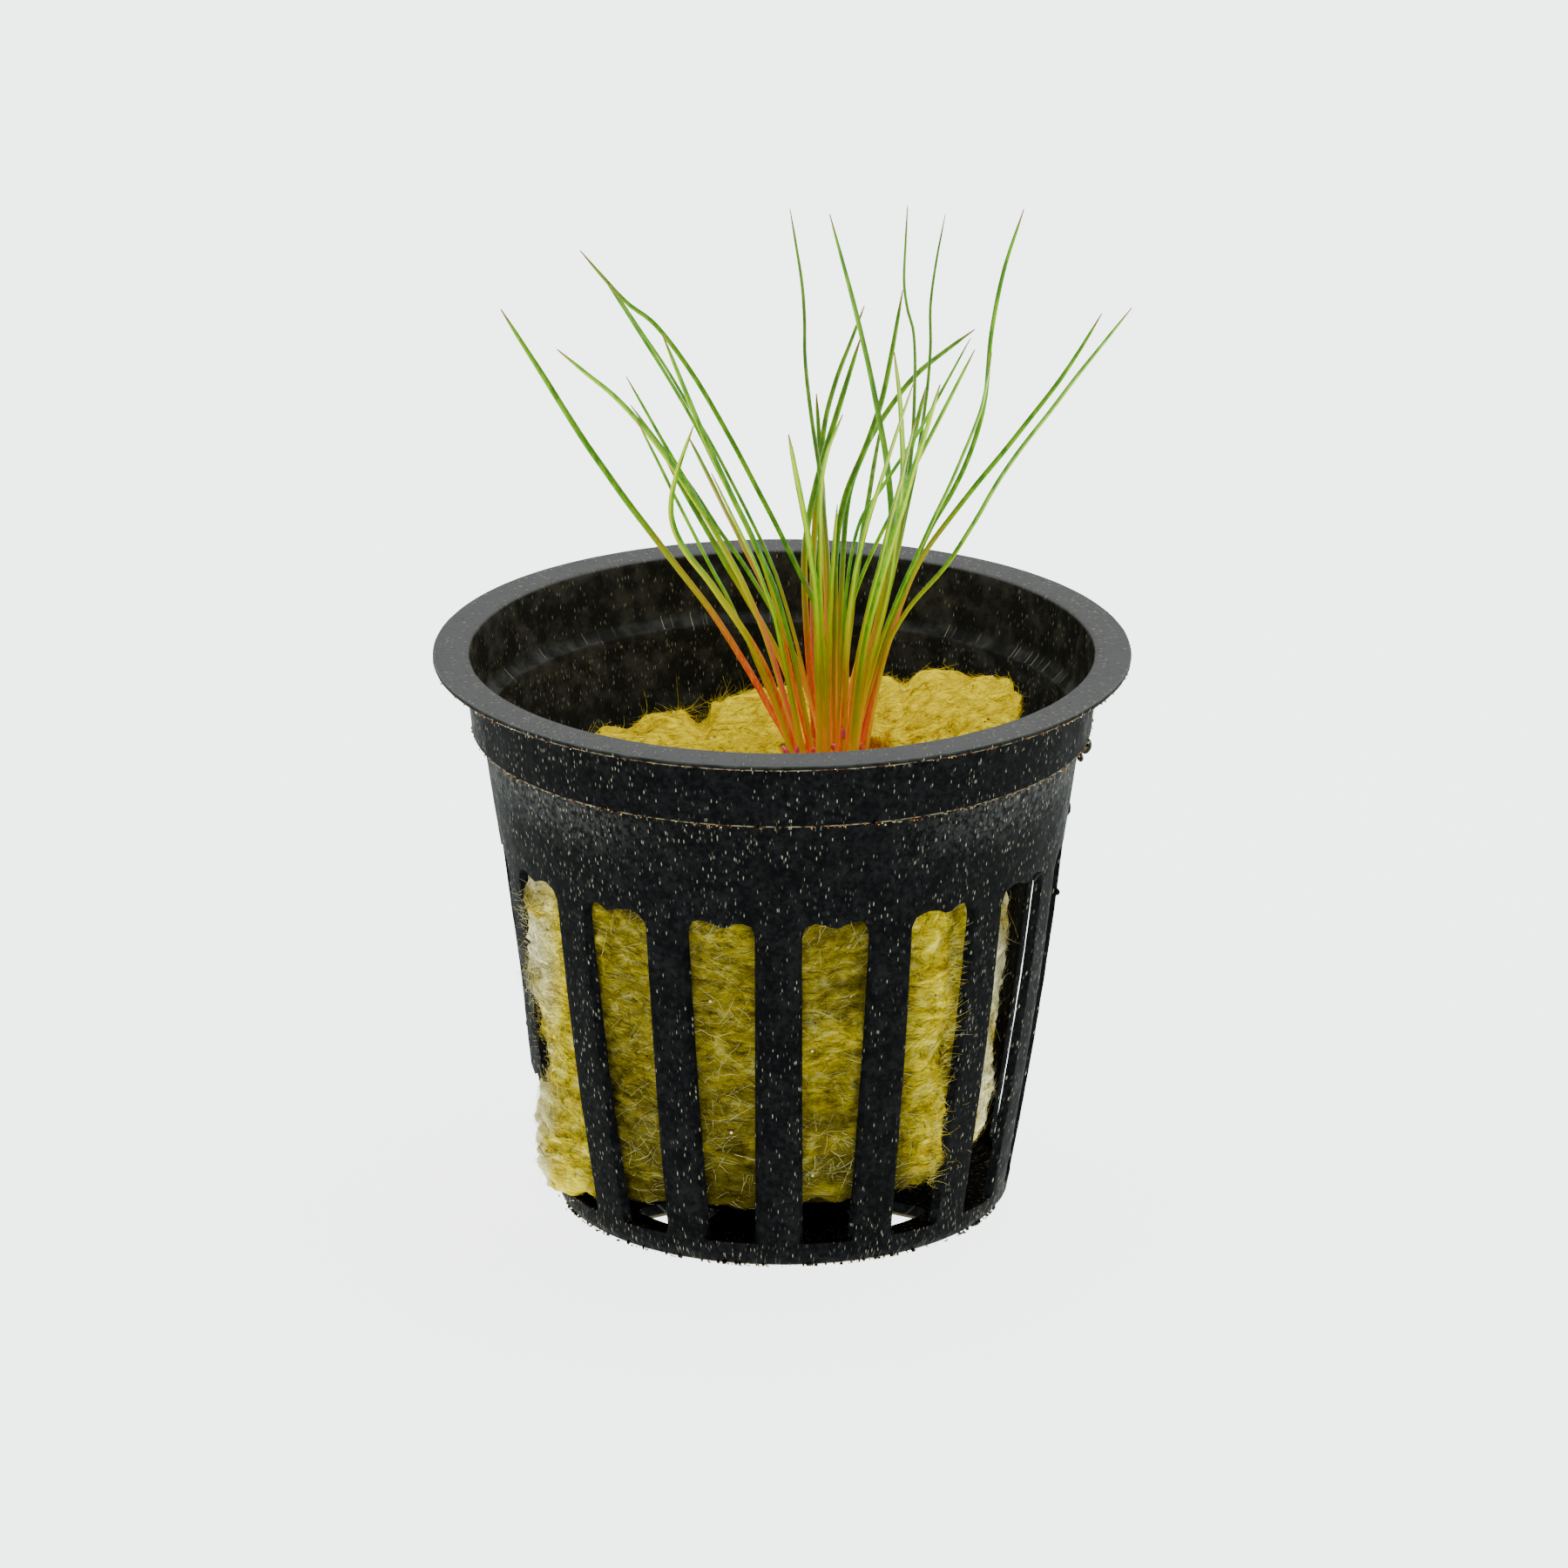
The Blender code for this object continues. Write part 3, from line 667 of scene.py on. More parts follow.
def floor_angles(count):
    """The angle of each column on the floor, where some of them run along its openings."""
    sector = 360.0 / OPENING_COUNT
    each = count // OPENING_COUNT
    marks = np.array([0, *opening_columns(each), each])
    places = np.array([0.0, sector / 2 - OPENING_SPREAD, sector / 2 + OPENING_SPREAD, sector])
    index = np.arange(count)
    return index // each * sector + np.interp(index % each, marks, places)


def opening_columns(each):
    """First and last column of a floor opening, out of those in its share of the floor."""
    return round(each * 0.3), round(each * 0.7)


def corner_height(place, corner):
    """How far a rounded corner takes a slot's end in from its full length."""
    into = np.maximum(np.abs(place) * SLOT_MIDDLE - (SLOT_MIDDLE - corner), 0.0) / corner
    return corner * (1.0 - np.sqrt(np.maximum(1.0 - into**2, 0.0)))


def nub_height(place, seed):
    """The small nub in the middle of a slot's upper end, between two shallow lobes."""
    across = place * SLOT_MIDDLE
    nub = SLOT_NUB * hump(across, 0.5 * seed, NUB_WIDTH)
    lobes = 0.12 * np.sin(across * (2.1 + 0.4 * seed)) ** 2
    return np.where(np.abs(place) > SLOT_END_SHARE, 0.0, nub + lobes)


def pot_rows():
    """Rows of the pot's skin from the hub of its floor out and up to the edge of its rim.

    Each row is (outer radius, outer height, inner radius, inner height).
    """
    foot = wall_radius(0.0)
    rows = [(r, 0.0, r, FLOOR_THICKNESS) for r in FLOOR_RINGS]
    rows.append((foot - 2.0, 0.0, foot - 2.4, FLOOR_THICKNESS))
    rows += [(foot - out, z, foot - into, FLOOR_THICKNESS + over) for out, z, into, over in FOOT_PROFILE]
    rows.append((wall_radius(FOOT_TOP), FOOT_TOP, foot - 0.55, FLOOR_THICKNESS + 0.5))
    heights = [WARP_BOTTOM, (WARP_BOTTOM + CORNER_BOTTOM) / 2, CORNER_BOTTOM]
    count = round((CORNER_TOP - CORNER_BOTTOM) / ROW_STEP)
    heights += list(np.linspace(CORNER_BOTTOM, CORNER_TOP, count + 1)[1:])
    heights += list(np.linspace(CORNER_TOP, WARP_TOP, CORNER_ROWS + 1)[1:])
    heights += list(np.linspace(WARP_TOP, WALL_TOP, WALL_TOP_ROWS + 1)[1:])
    rows += [(wall_radius(z), z, wall_radius(z) - WALL_THICKNESS, z) for z in heights]
    top = wall_radius(COLLAR_BOTTOM)
    inner = COLLAR_RADIUS - WALL_THICKNESS - COLLAR_TAPER + LEDGE_DEPTH / 4
    collar = COLLAR_RADIUS - COLLAR_TAPER
    under_rim = RIM_TOP - RIM_THICKNESS
    rows += [
        (top, WALL_TOP + 0.5, top - WALL_THICKNESS, COLLAR_BOTTOM + 0.1),
        (top + 0.02, COLLAR_BOTTOM - 0.05, top - WALL_THICKNESS, LEDGE_BOTTOM - 0.2),
        (top + 0.14, COLLAR_BOTTOM, top - WALL_THICKNESS + 0.06, LEDGE_BOTTOM - 0.05),
        (collar - 0.16, COLLAR_BOTTOM, inner - LEDGE_DEPTH + 0.1, LEDGE_BOTTOM),
        (collar - 0.04, COLLAR_BOTTOM + 0.04, inner - 0.2, LEDGE_TOP - 0.14),
    ]
    rows += [(collar + out, z, inner + into, inner_z) for out, z, into, inner_z in COLLAR_PROFILE]
    rows += [
        (COLLAR_RADIUS - 0.04, under_rim - 0.14, RIM_MOUTH - 0.1, RIM_TOP - 0.22),
        (COLLAR_RADIUS + 0.1, under_rim, RIM_MOUTH - 0.02, RIM_TOP - 0.08),
        *((below, under_rim, above, RIM_TOP) for below, above in RIM_RINGS),
        (RIM_RADIUS - 0.05, under_rim + 0.05, RIM_RADIUS - 0.05, RIM_TOP - 0.05),
        (RIM_RADIUS, under_rim + 0.2, RIM_RADIUS, RIM_TOP - 0.2),
    ]
    return rows


def skin(radii, heights, rib_half, in_slot, place, broken, broken_place):
    """One skin of the pot as a grid of points, rows by columns."""
    count = len(in_slot)
    grid = np.zeros((len(radii), count, 3))
    slot_seed = waves(np.stack([np.arange(count) // (count // SLOT_COUNT)] * 3, axis=1), 0.73, 5.0)
    for row, (radius, height) in enumerate(zip(radii, heights)):
        z = np.full(count, height)
        if radius <= FLOOR_REACH and height <= FLOOR_THICKNESS:
            angles = floor_angles(count)
        elif radius < FOOT_REACH + 0.2 and height <= FLOOR_THICKNESS:
            angles = (floor_angles(count) + column_angles(radius, rib_half)) / 2
        else:
            angles = column_angles(radius, rib_half)
        if WARP_BOTTOM <= height <= CORNER_BOTTOM + SLACK:
            end = SLOT_BOTTOM + corner_height(place, SLOT_LOWER_CORNER)
            share = (height - WARP_BOTTOM) / (CORNER_BOTTOM - WARP_BOTTOM)
            z = np.where(in_slot, WARP_BOTTOM + share * (end - WARP_BOTTOM), z)
        if CORNER_TOP - SLACK <= height <= WARP_TOP:
            rise = SLOT_END_RISE * (np.abs(place) < SLOT_END_SHARE)
            end = SLOT_TOP + rise - corner_height(place, SLOT_CORNER) - nub_height(place, slot_seed)
            share = (height - CORNER_TOP) / (WARP_TOP - CORNER_TOP)
            z = np.where(in_slot, end + share * (WARP_TOP - end), z)
        if height in broken:
            z = np.where(np.isfinite(broken_place), broken[height](broken_place), z)
        if WARP_BOTTOM <= height <= WARP_TOP:
            radius = radius + (wall_radius(z) - wall_radius(height))
            sprung = np.isfinite(broken_place) & (z > STUMP_SPRING_LOW) & (z < SLOT_TOP)
            spring = STUMP_SPRING * ((SLOT_TOP - z) / STUMP_SPRING_LENGTH) ** 2
            radius = radius + np.where(sprung, spring, 0.0)
        grid[row] = around(radius, angles, z)
    return grid


def round_openings(grid, rows):
    """Draws in the corners of the floor openings."""
    count = grid.shape[1]
    each = count // OPENING_COUNT
    first, last = opening_columns(each)
    for row, outwards in ((rows[0], OPENING_ROUNDING), (rows[1], -OPENING_ROUNDING)):
        for sector in range(OPENING_COUNT):
            for column, aside in ((first, 1), (last, -1)):
                corner = sector * each + column
                towards = unit(grid[row, corner + aside] - grid[row, corner])
                away = unit(grid[row, corner] * (1, 1, 0))
                grid[row, corner] += towards * OPENING_ROUNDING + away * outwards


def present_cells(heights, radii, in_slot, broken_columns, gap):
    """Which cells of the skin are plastic: not those of slots, openings or the snapped rib."""
    rows, count = len(heights) - 1, len(in_slot)
    present = np.ones((rows, count), dtype=bool)
    low, high = np.array(heights[:-1]), np.array(heights[1:])
    near, far = np.array(radii[:-1]), np.array(radii[1:])
    wall = near > FOOT_REACH
    slotted = (low >= CORNER_BOTTOM - SLACK) & (high <= CORNER_TOP + SLACK) & wall
    slot_cell = in_slot & np.roll(in_slot, -1)
    present[np.ix_(slotted, slot_cell)] = False
    missing = (low >= gap[0] - SLACK) & (high <= gap[1] + SLACK) & wall
    present[np.ix_(missing, broken_columns)] = False
    open_rows = (near >= OPENING_INNER - SLACK) & (far <= OPENING_OUTER + SLACK)
    each = count // OPENING_COUNT
    first, last = opening_columns(each)
    index = np.arange(count) % each
    present[np.ix_(open_rows & (low < 1.0), (index >= first) & (index < last))] = False
    return present


def shell_mesh(name, outer, inner, present):
    """A closed shell between two skins, with side faces wherever a present cell meets a missing one."""
    rows, count = outer.shape[:2]
    size = rows * count
    points = np.concatenate([outer.reshape(-1, 3), inner.reshape(-1, 3)])
    inside = np.repeat((0.0, 1.0), size)
    row, column = np.nonzero(present)
    beyond = (column + 1) % count
    low_left, low_right = row * count + column, row * count + beyond
    high_left, high_right = low_left + count, low_right + count
    ring = np.stack([low_left, low_right, high_right, high_left], axis=1)
    faces = [ring, ring[:, ::-1] + size]
    padded = np.zeros((rows + 1, count), dtype=bool)
    padded[1:-1] = present
    for is_open, start, end in (
        (~padded[row, column] & (row > 0), low_right, low_left),
        (~padded[row + 2, column], high_left, high_right),
        (~present[row, column - 1], low_left, high_left),
        (~present[row, beyond], high_right, low_right),
    ):
        start, end = start[is_open], end[is_open]
        faces.append(np.stack([start, end, end + size, start + size], axis=1))
    listed = np.concatenate(faces).tolist()
    listed += [list(range(count))[::-1], list(range(size, size + count))]
    used = np.unique(np.concatenate([np.array(face) for face in listed]))
    renumber = np.full(len(points), -1)
    renumber[used] = np.arange(len(used))
    mesh = mesh_of(name, points[used], [[int(renumber[i]) for i in face] for face in listed])
    give(mesh, "inside", inside[used])
    return mesh


def broken_rib(in_slot, middle, place):
    """Where each column stands across the snapped rib, nan off it, and which cells are its own."""
    rib_angle = BROKEN_RIB_ANGLE % 360.0
    on_rib = ~in_slot & (np.abs(middle % 360.0 - rib_angle) < 0.5)
    edge_before = in_slot & (np.abs(middle - rib_angle + PITCH / 2) < 0.5) & (place > 0.99)
    edge_after = in_slot & (np.abs(middle - rib_angle - PITCH / 2) < 0.5) & (place < -0.99)
    across = np.where(on_rib, place * RIB_HALF, np.nan)
    across = np.where(edge_before, -RIB_HALF, across)
    across = np.where(edge_after, RIB_HALF, across)
    return across, on_rib | edge_before


def make_net_pot():
    outer_r, outer_z, inner_r, inner_z = (list(values) for values in zip(*pot_rows()))
    in_slot, middle, place = columns()
    across, broken_cells = broken_rib(in_slot, middle, place)
    stub, stump = (nearest(outer_z, points) for points in (STUB_TOP, STUMP_END))
    ends = {stub: ragged(STUB_TOP, 3.0), stump: ragged(STUMP_END, 8.0)}
    outer = skin(outer_r, outer_z, RIB_HALF - RIB_DRAFT, in_slot, place, ends, across)
    inner = skin(inner_r, inner_z, RIB_HALF, in_slot, place, ends, across)
    for grid in (outer, inner):
        round_openings(grid, (outer_r.index(OPENING_INNER), outer_r.index(OPENING_OUTER)))
        flat = grid.reshape(-1, 3)
        outwards = unit(flat * (1.0, 1.0, 0.0))
        wobble = sum(waves(flat, scale, seed) * depth for scale, seed, depth in WOBBLES)
        wobble *= flat[:, 2] > FOOT_TOP / 2
        flat += outwards * wobble[:, None]
    present = present_cells(outer_z, outer_r, in_slot, broken_cells, (stub, stump))
    mesh = shell_mesh("net_pot_shell", outer, inner, present)
    pot = add_piece("net_pot_shell", mesh, POT_PLASTIC, "pot_plastic", "net_pot")
    soften = pot.modifiers.new("moulded_edges", "BEVEL")
    soften.width = EDGE_SOFTENING * MM
    soften.segments = 2
    soften.limit_method = "ANGLE"
    soften.angle_limit = math.radians(SOFTENED_ANGLE)
    pot.modifiers.new("even_shading", "WEIGHTED_NORMAL")


def nearest(heights, outline):
    """The row whose height comes nearest to the middle of a ragged outline."""
    middle = sum(z for _, z in outline) / len(outline)
    return min((z for z in heights if z > WARP_BOTTOM), key=lambda z: abs(z - middle))


def ragged(outline, seed):
    xs, zs = zip(*outline)

    def end(across):
        return np.interp(across, xs, zs) + 0.18 * np.sin(across * 7.0 + seed) * np.cos(across * 3.1)

    return end


# Burrs of the moulding and grains of dirt

FOOT_EDGE = (17.35, 0.12)
COLLAR_EDGE = (24.42, 39.1)
RIM_EDGE = (27.46, 44.85)
FOOT_BURRS = 150
COLLAR_BURRS = 50
FOOT_GRAINS = 420
COLLAR_GRAINS = 260
RIM_GRAINS = 240
STUB_GRAINS = 60
STUB_DUST = ((17.4, 18.2), (-80.0, -58.0), (0.4, 2.3))
LOWEST_GRAIN = 0.06

# Larger burrs: angle, radius, height and half sizes
LARGE_BURRS = (
    (82.0, 24.25, 38.6, (0.34, 0.34, 0.55)),
    (86.0, 23.55, 37.0, (0.26, 0.26, 0.36)),
    (78.0, 24.3, 38.8, (0.40, 0.30, 0.34)),
    (88.0, 22.55, 32.5, (0.24, 0.24, 0.66)),
    (89.0, 21.72, 25.3, (0.20, 0.20, 0.30)),
    (62.0, 17.4, 0.3, (0.34, 0.34, 0.30)),
    (-90.0, 20.1, 14.2, (0.22, 0.22, 0.34)),
)


def grains(name, places, sizes, level, seed):
    """Small lumps, each a ball pushed out of round, at these places and with these half sizes."""
    ball = bmesh.new()
    bmesh.ops.create_icosphere(ball, subdivisions=level, radius=1.0)
    shape = np.array([v.co for v in ball.verts])
    corners = np.array([[v.index for v in face.verts] for face in ball.faces])
    ball.free()
    rough = 1.0 + 0.35 * waves((shape[None] + np.asarray(places)[:, None] * 3.1).reshape(-1, 3), 0.9, seed)
    rough = rough.reshape(len(places), -1, 1)
    points = np.asarray(places)[:, None] + shape[None] * rough * np.asarray(sizes)[:, None]
    faces = corners[None] + (np.arange(len(places)) * len(shape))[:, None, None]
    return mesh_of(name, points.reshape(-1, 3), faces.reshape(-1, 3).tolist())


def along_edge(random, count, edge, spread):
    """Places scattered all around the pot near an edge, given by its radius and height."""
    radius = edge[0] + random.normal(0.0, 0.04, count)
    height = edge[1] + random.normal(0.0, spread, count)
    return around(radius, random.uniform(-180.0, 180.0, count), np.maximum(height, LOWEST_GRAIN))


def above_ground(places, sizes):
    """Lifts grains that would reach below the ground."""
    places[:, 2] = np.maximum(places[:, 2], sizes[:, 2] * 1.4)
    return places


def make_burrs():
    random = np.random.default_rng(5)
    large = [around(radius, angle, height) for angle, radius, height, _ in LARGE_BURRS]
    places = np.concatenate([
        np.array(large),
        along_edge(random, FOOT_BURRS, FOOT_EDGE, 0.12),
        along_edge(random, COLLAR_BURRS, COLLAR_EDGE, 0.05),
    ])
    small = random.uniform(0.07, 0.2, (FOOT_BURRS + COLLAR_BURRS, 3))
    sizes = np.concatenate([[size for *_, size in LARGE_BURRS], small])
    mesh = grains("moulding_burrs", above_ground(places, sizes), sizes, 2, 3.0)
    add_piece("moulding_burrs", mesh, POT_PLASTIC, "pot_plastic")


def make_dirt():
    random = np.random.default_rng(11)
    stub = around(*(random.uniform(low, high, STUB_GRAINS) for low, high in STUB_DUST))
    places = np.concatenate([
        along_edge(random, FOOT_GRAINS, FOOT_EDGE, 0.16),
        along_edge(random, COLLAR_GRAINS, COLLAR_EDGE, 0.06),
        along_edge(random, RIM_GRAINS, RIM_EDGE, 0.05),
        stub,
    ])
    sizes = random.uniform(0.03, 0.085, (len(places), 1)) * random.uniform(0.7, 1.4, (len(places), 3))
    mesh = grains("dirt_grains", above_ground(places, sizes), sizes, 1, 4.0)
    give(mesh, "tone", np.repeat(random.random(len(places)), len(mesh.vertices) // len(places)))
    add_piece("dirt_grains", mesh, DIRT, "pot_plastic")


# Rock wool

WOOL_VOXEL = 0.34
FELT_SWELL = 0.4
FELT_TUFTS = 0.8
FELT_FLUFF = 0.16
FELT_SINK = 0.25
FELT_ROOM = 0.1
SIDE_STRANDS = 17400
SIDE_PIECES = 3
SIDE_LENGTHS = (1.0, 3.4)
SIDE_RADII = (0.012, 0.028)
SIDE_TOP = 31.0
TOP_STRANDS = 5600
TOP_LENGTHS = (0.8, 2.8)
TOP_RADII = (0.014, 0.030)
TOP_BOTTOM = 33.0
UNDERSIDE = 4.5
STRAND_STEPS = 4
STRAND_ROOM = 0.04
FUZZY_SIDES = (-65.0, 41.0)
SHOT_BEADS = 70
SHOT_SIZE = 0.13
PEAT_CRUMBS = 60
PEAT_SIZE = 0.12

# Swellings out of the slots: how far, the angle of the middle, the reach to each side, and the
# heights between which it sets in
SWELLINGS = (
    (1.45, -64.0, 9.0, (10.0, 12.0)),
    (-0.3, -64.0, 9.0, (18.0, 25.0)),
    (0.9, 38.0, 7.0, (5.0, 9.0)),
    (0.55, 80.0, 16.0, (8.0, 11.0)),
)
SWELLING_TOP = (30.5, 27.0)
SAG_ANGLE = -72.0
SAG_REACH = 12.0
SAG_DROP = 0.8

# Nicks in the back edge: how deep, the place across and half the width
NICKS = (
    (1.6, -6.4, 0.9),
    (0.7, 9.9, 0.8),
)
BACK_EDGE = (5.0, 11.0)

# Where the wool has come out past the wall: the gap of the broken rib and what lies around it
GAP_BOTTOM = 3.2
GAP_TOP = 11.6
GAP_REACH = PITCH * 0.8
STUMP_WOOL_TOP = 24.0
OUTER_ROOM = 3.0

# Fringes: count, angle and its spread, lowest and highest, which way they point, the longest
FRINGES = (
    (460, 37.6, 0.5, 6.0, 28.5, 1.0, 1.35),
    (300, -68.6, 1.0, 13.0, 27.0, -1.0, 0.9),
    (160, -74.0, 5.0, 2.6, 11.0, -0.6, 0.8),
    (420, 165.0, 34.0, 35.0, 37.5, 0.0, 1.0),
    (60, -160.0, 6.0, 35.5, 37.0, -0.5, 2.6),
)


def remeshed(source, voxel):
    """A copy of a CAD node's mesh with even, small faces."""
    copy = bpy.data.objects.new("remeshed", source.data.copy())
    copy.matrix_world = source.matrix_world
    bpy.context.scene.collection.objects.link(copy)
    remesh = copy.modifiers.new("even_faces", "REMESH")
    remesh.mode = "VOXEL"
    remesh.voxel_size = voxel * MM
    remesh.use_smooth_shade = True
    bpy.context.view_layer.update()
    evaluated = copy.evaluated_get(bpy.context.evaluated_depsgraph_get())
    mesh = bpy.data.meshes.new_from_object(evaluated)
    mesh.transform(copy.matrix_world)
    mesh.materials.clear()
    bpy.data.objects.remove(copy, do_unlink=True)
    return mesh


def read_points(mesh):
    flat = np.empty(len(mesh.vertices) * 3)
    mesh.vertices.foreach_get("co", flat)
    return flat.reshape(-1, 3) / MM


def read_normals(mesh):
    flat = np.empty(len(mesh.vertices) * 3)
    mesh.vertex_normals.foreach_get("vector", flat)
    return flat.reshape(-1, 3)


def write_points(mesh, points):
    mesh.vertices.foreach_set("co", (points * MM).ravel())
    mesh.update()


def polar(points):
    """Distance from the axis, angle from the front and height of each point."""
    angle = np.degrees(np.arctan2(points[..., 0], -points[..., 1]))
    return np.linalg.norm(points[..., :2], axis=-1), angle, points[..., 2]


def beside_rib(radius, angle):
    """How far to the side of the nearest rib's middle a point stands."""
    off_rib = np.abs((angle - SLOT_TURN + PITCH / 2) % PITCH - PITCH / 2)
    return radius * np.sin(np.radians(off_rib))


def held_in(points, room, loose=False):
    """Keeps points inside the pot's wall by this much room, except where a slot is open.

    Loose ones that have come out through a slot may lie over a rib.
    """
    radius, angle, height = polar(points)
    off_rib = angle - BROKEN_RIB_ANGLE
    slot_height = (height > SLOT_BOTTOM + 0.4) & (height < SLOT_TOP - 0.6)
    in_slot = (beside_rib(radius, angle) > RIB_HALF) & slot_height
    at_stub = (np.abs(off_rib) < GAP_REACH) & (height < GAP_TOP)
    gap = at_stub & (height > GAP_BOTTOM)
    beside_stump = (off_rib > -0.5) & (off_rib < 8.0) & (height < STUMP_WOOL_TOP)
    outside = (radius > wall_radius(height) + 0.03) & (loose | beside_stump | at_stub)
    limit = wall_radius(height) - WALL_THICKNESS - room + (in_slot | gap | outside) * OUTER_ROOM
    squeeze = np.minimum(1.0, limit / np.maximum(radius, 1e-6))
    held = points.copy()
    held[..., 0] *= squeeze
    held[..., 1] *= squeeze
    lowest = np.where(outside, 0.15, FLOOR_THICKNESS + 0.08)
    held[..., 2] = np.maximum(held[..., 2], lowest)
    return held


def swollen(points):
    """Lets the wool swell out of the slots at both sides and sag over the foot of the broken rib.

    Its back edge has two nicks.
    """
    radius, angle, height = polar(points)
    sagging = hump(angle, SAG_ANGLE, SAG_REACH) * ramp(height, 1.8, 3.0)
    plump = 0.25 + 0.3 * hump(height, 5.0, 1.6) - 0.55 * ramp(height, 4.3, 3.0)
    swell = sagging * plump * ramp(height, 12.0, 10.0)
    for far, middle, reach, sets_in in SWELLINGS:
        swell += far * hump(angle, middle, reach) * ramp(height, *SWELLING_TOP) * ramp(height, *sets_in)
    moved = points + unit(points * (1.0, 1.0, 0.0)) * swell[:, None]
    at_back = ramp(points[:, 1], *BACK_EDGE) * (height > SIDE_TOP)
    for depth, across, width in NICKS:
        moved[:, 2] -= depth * hump(points[:, 0], across, width) * at_back
    moved[:, 2] -= SAG_DROP * sagging * ramp(radius, 17.0, 18.2) * ramp(height, 7.0, 3.4)
    return moved


def make_wool_body():
    mesh = remeshed(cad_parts["rock_wool"], WOOL_VOXEL)
    points, normals = read_points(mesh), read_normals(mesh)
    points = swollen(points)
    swell = waves(points, 0.22, 1.0) * FELT_SWELL
    tufts = np.abs(waves(points * (0.6, 0.6, 1.7), 0.6, 6.0)) * FELT_TUFTS
    fluff = waves(points * (0.7, 0.7, 2.0), 1.4, 9.0) * FELT_FLUFF
    points += normals * (swell + tufts + fluff - FELT_SINK)[:, None]
    write_points(mesh, held_in(points, FELT_ROOM))
    mesh.shade_smooth()
    return add_piece("rock_wool_body", mesh, WOOL_FIBRE, "wool_fibre", "rock_wool")


def scattered(mesh, count, random, wanted):
    """Random points on the mesh with their normals, more of them where wanted says so."""
    mesh.calc_loop_triangles()
    corners = np.empty(len(mesh.loop_triangles) * 3, dtype=np.int64)
    mesh.loop_triangles.foreach_get("vertices", corners)
    corners = corners.reshape(-1, 3)
    points, normals = read_points(mesh), read_normals(mesh)
    a, b, c = (points[corners[:, i]] for i in range(3))
    area = np.linalg.norm(np.cross(b - a, c - a), axis=1)
    weight = area * wanted((a + b + c) / 3)
    picked = random.choice(len(corners), count, p=weight / weight.sum())
    u, v = random.random((2, count))
    flip = u + v > 1.0
    u, v = np.where(flip, 1 - u, u), np.where(flip, 1 - v, v)
    start = a[picked] + (b - a)[picked] * u[:, None] + (c - a)[picked] * v[:, None]
    return start, unit(normals[corners[picked]].mean(axis=1))


def strand_lines(felt, start, normal, random, lengths):
    """Fibres that follow the felt in swirls, along its layers, and lift off it towards their ends."""
    _, angle, height = polar(start)
    loose = 0.10 * hump(angle, FUZZY_SIDES[0], 6.0) + 0.16 * hump(angle, FUZZY_SIDES[1], 6.0)
    lift = np.where(height < SIDE_TOP, 0.06 + loose, 0.11)
    swirl = flow(start, 0.33, 3.0) + flow(start, 1.1, 7.0) * 0.6
    swirl += random.normal(size=start.shape) * 0.25
    layer = unit(np.cross((0.0, 0.0, 1.0), normal)) * random.choice((-0.5, 0.5), (len(start), 1))
    heading = swirl + layer
    heading = unit(heading - normal * np.sum(heading * normal, axis=1, keepdims=True))
    bend = random.normal(size=start.shape) * 0.35
    length = random.uniform(*lengths, len(start))
    rise = random.exponential(lift).clip(0.0, lift * 2.5)
    rise += (random.random(len(start)) > 0.99) * 0.35
    lines = [start - normal * 0.03]
    for step in range(1, STRAND_STEPS + 1):
        t = step / STRAND_STEPS
        there = start + (heading * t + bend * (t * t * 0.6)) * length[:, None]
        found = [felt.find_nearest(point) for point in there]
        on_felt = np.array([place for place, *_ in found])
        outwards = np.array([away for _, away, *_ in found])
        lines.append(on_felt + outwards * (rise * t * t * length + 0.02)[:, None])
    return np.stack(lines, axis=1)


def tubes(lines, radii, sides=3):
    """Thin tapering tubes along many lines at once, as points and faces."""
    count, steps = lines.shape[:2]
    tangent = unit(np.gradient(lines, axis=1))
    guide = unit(np.cross(tangent, np.array([0.31, 0.57, 0.76])))
    other = np.cross(tangent, guide)
    taper = radii[:, None] * (1.0 - 0.75 * np.linspace(0.0, 1.0, steps)[None, :] ** 1.5)
    rings = []
    for side in range(sides):
        turn = 2 * math.pi * side / sides
        rings.append(lines + (guide * math.cos(turn) + other * math.sin(turn)) * taper[..., None])
    points = np.stack(rings, axis=2)
    index = np.arange(count * steps * sides).reshape(count, steps, sides)
    low, high = index[:, :-1], index[:, 1:]
    walls = np.stack([low, np.roll(low, -1, axis=2), np.roll(high, -1, axis=2), high], axis=-1)
    faces = walls.reshape(-1, 4).tolist()
    faces += index[:, 0, ::-1].tolist() + index[:, -1].tolist()
    return points.reshape(-1, 3), faces, steps * sides


def strand_mesh(name, lines, radii, tones):
    points, faces, each = tubes(lines, radii)
    mesh = mesh_of(name, points, faces)
    give(mesh, "tone", np.repeat(tones, each))
    return mesh


def side_wanted(points):
    """More fibres in the slots than behind the ribs, and few underneath."""
    radius, angle, height = polar(points)
    open_side = beside_rib(radius, angle) > RIB_HALF - 0.3
    fuzzy = 1.0 + 1.5 * hump(angle, FUZZY_SIDES[0], 9.0) + 0.8 * hump(angle, FUZZY_SIDES[1], 7.0)
    inside = np.where(height < UNDERSIDE, 0.06, np.where(open_side, fuzzy, 0.2))
    return np.where(height > TOP_BOTTOM, 0.05, inside)


def top_wanted(points):
    return np.where(points[:, 2] > TOP_BOTTOM, 1.0, 0.0)


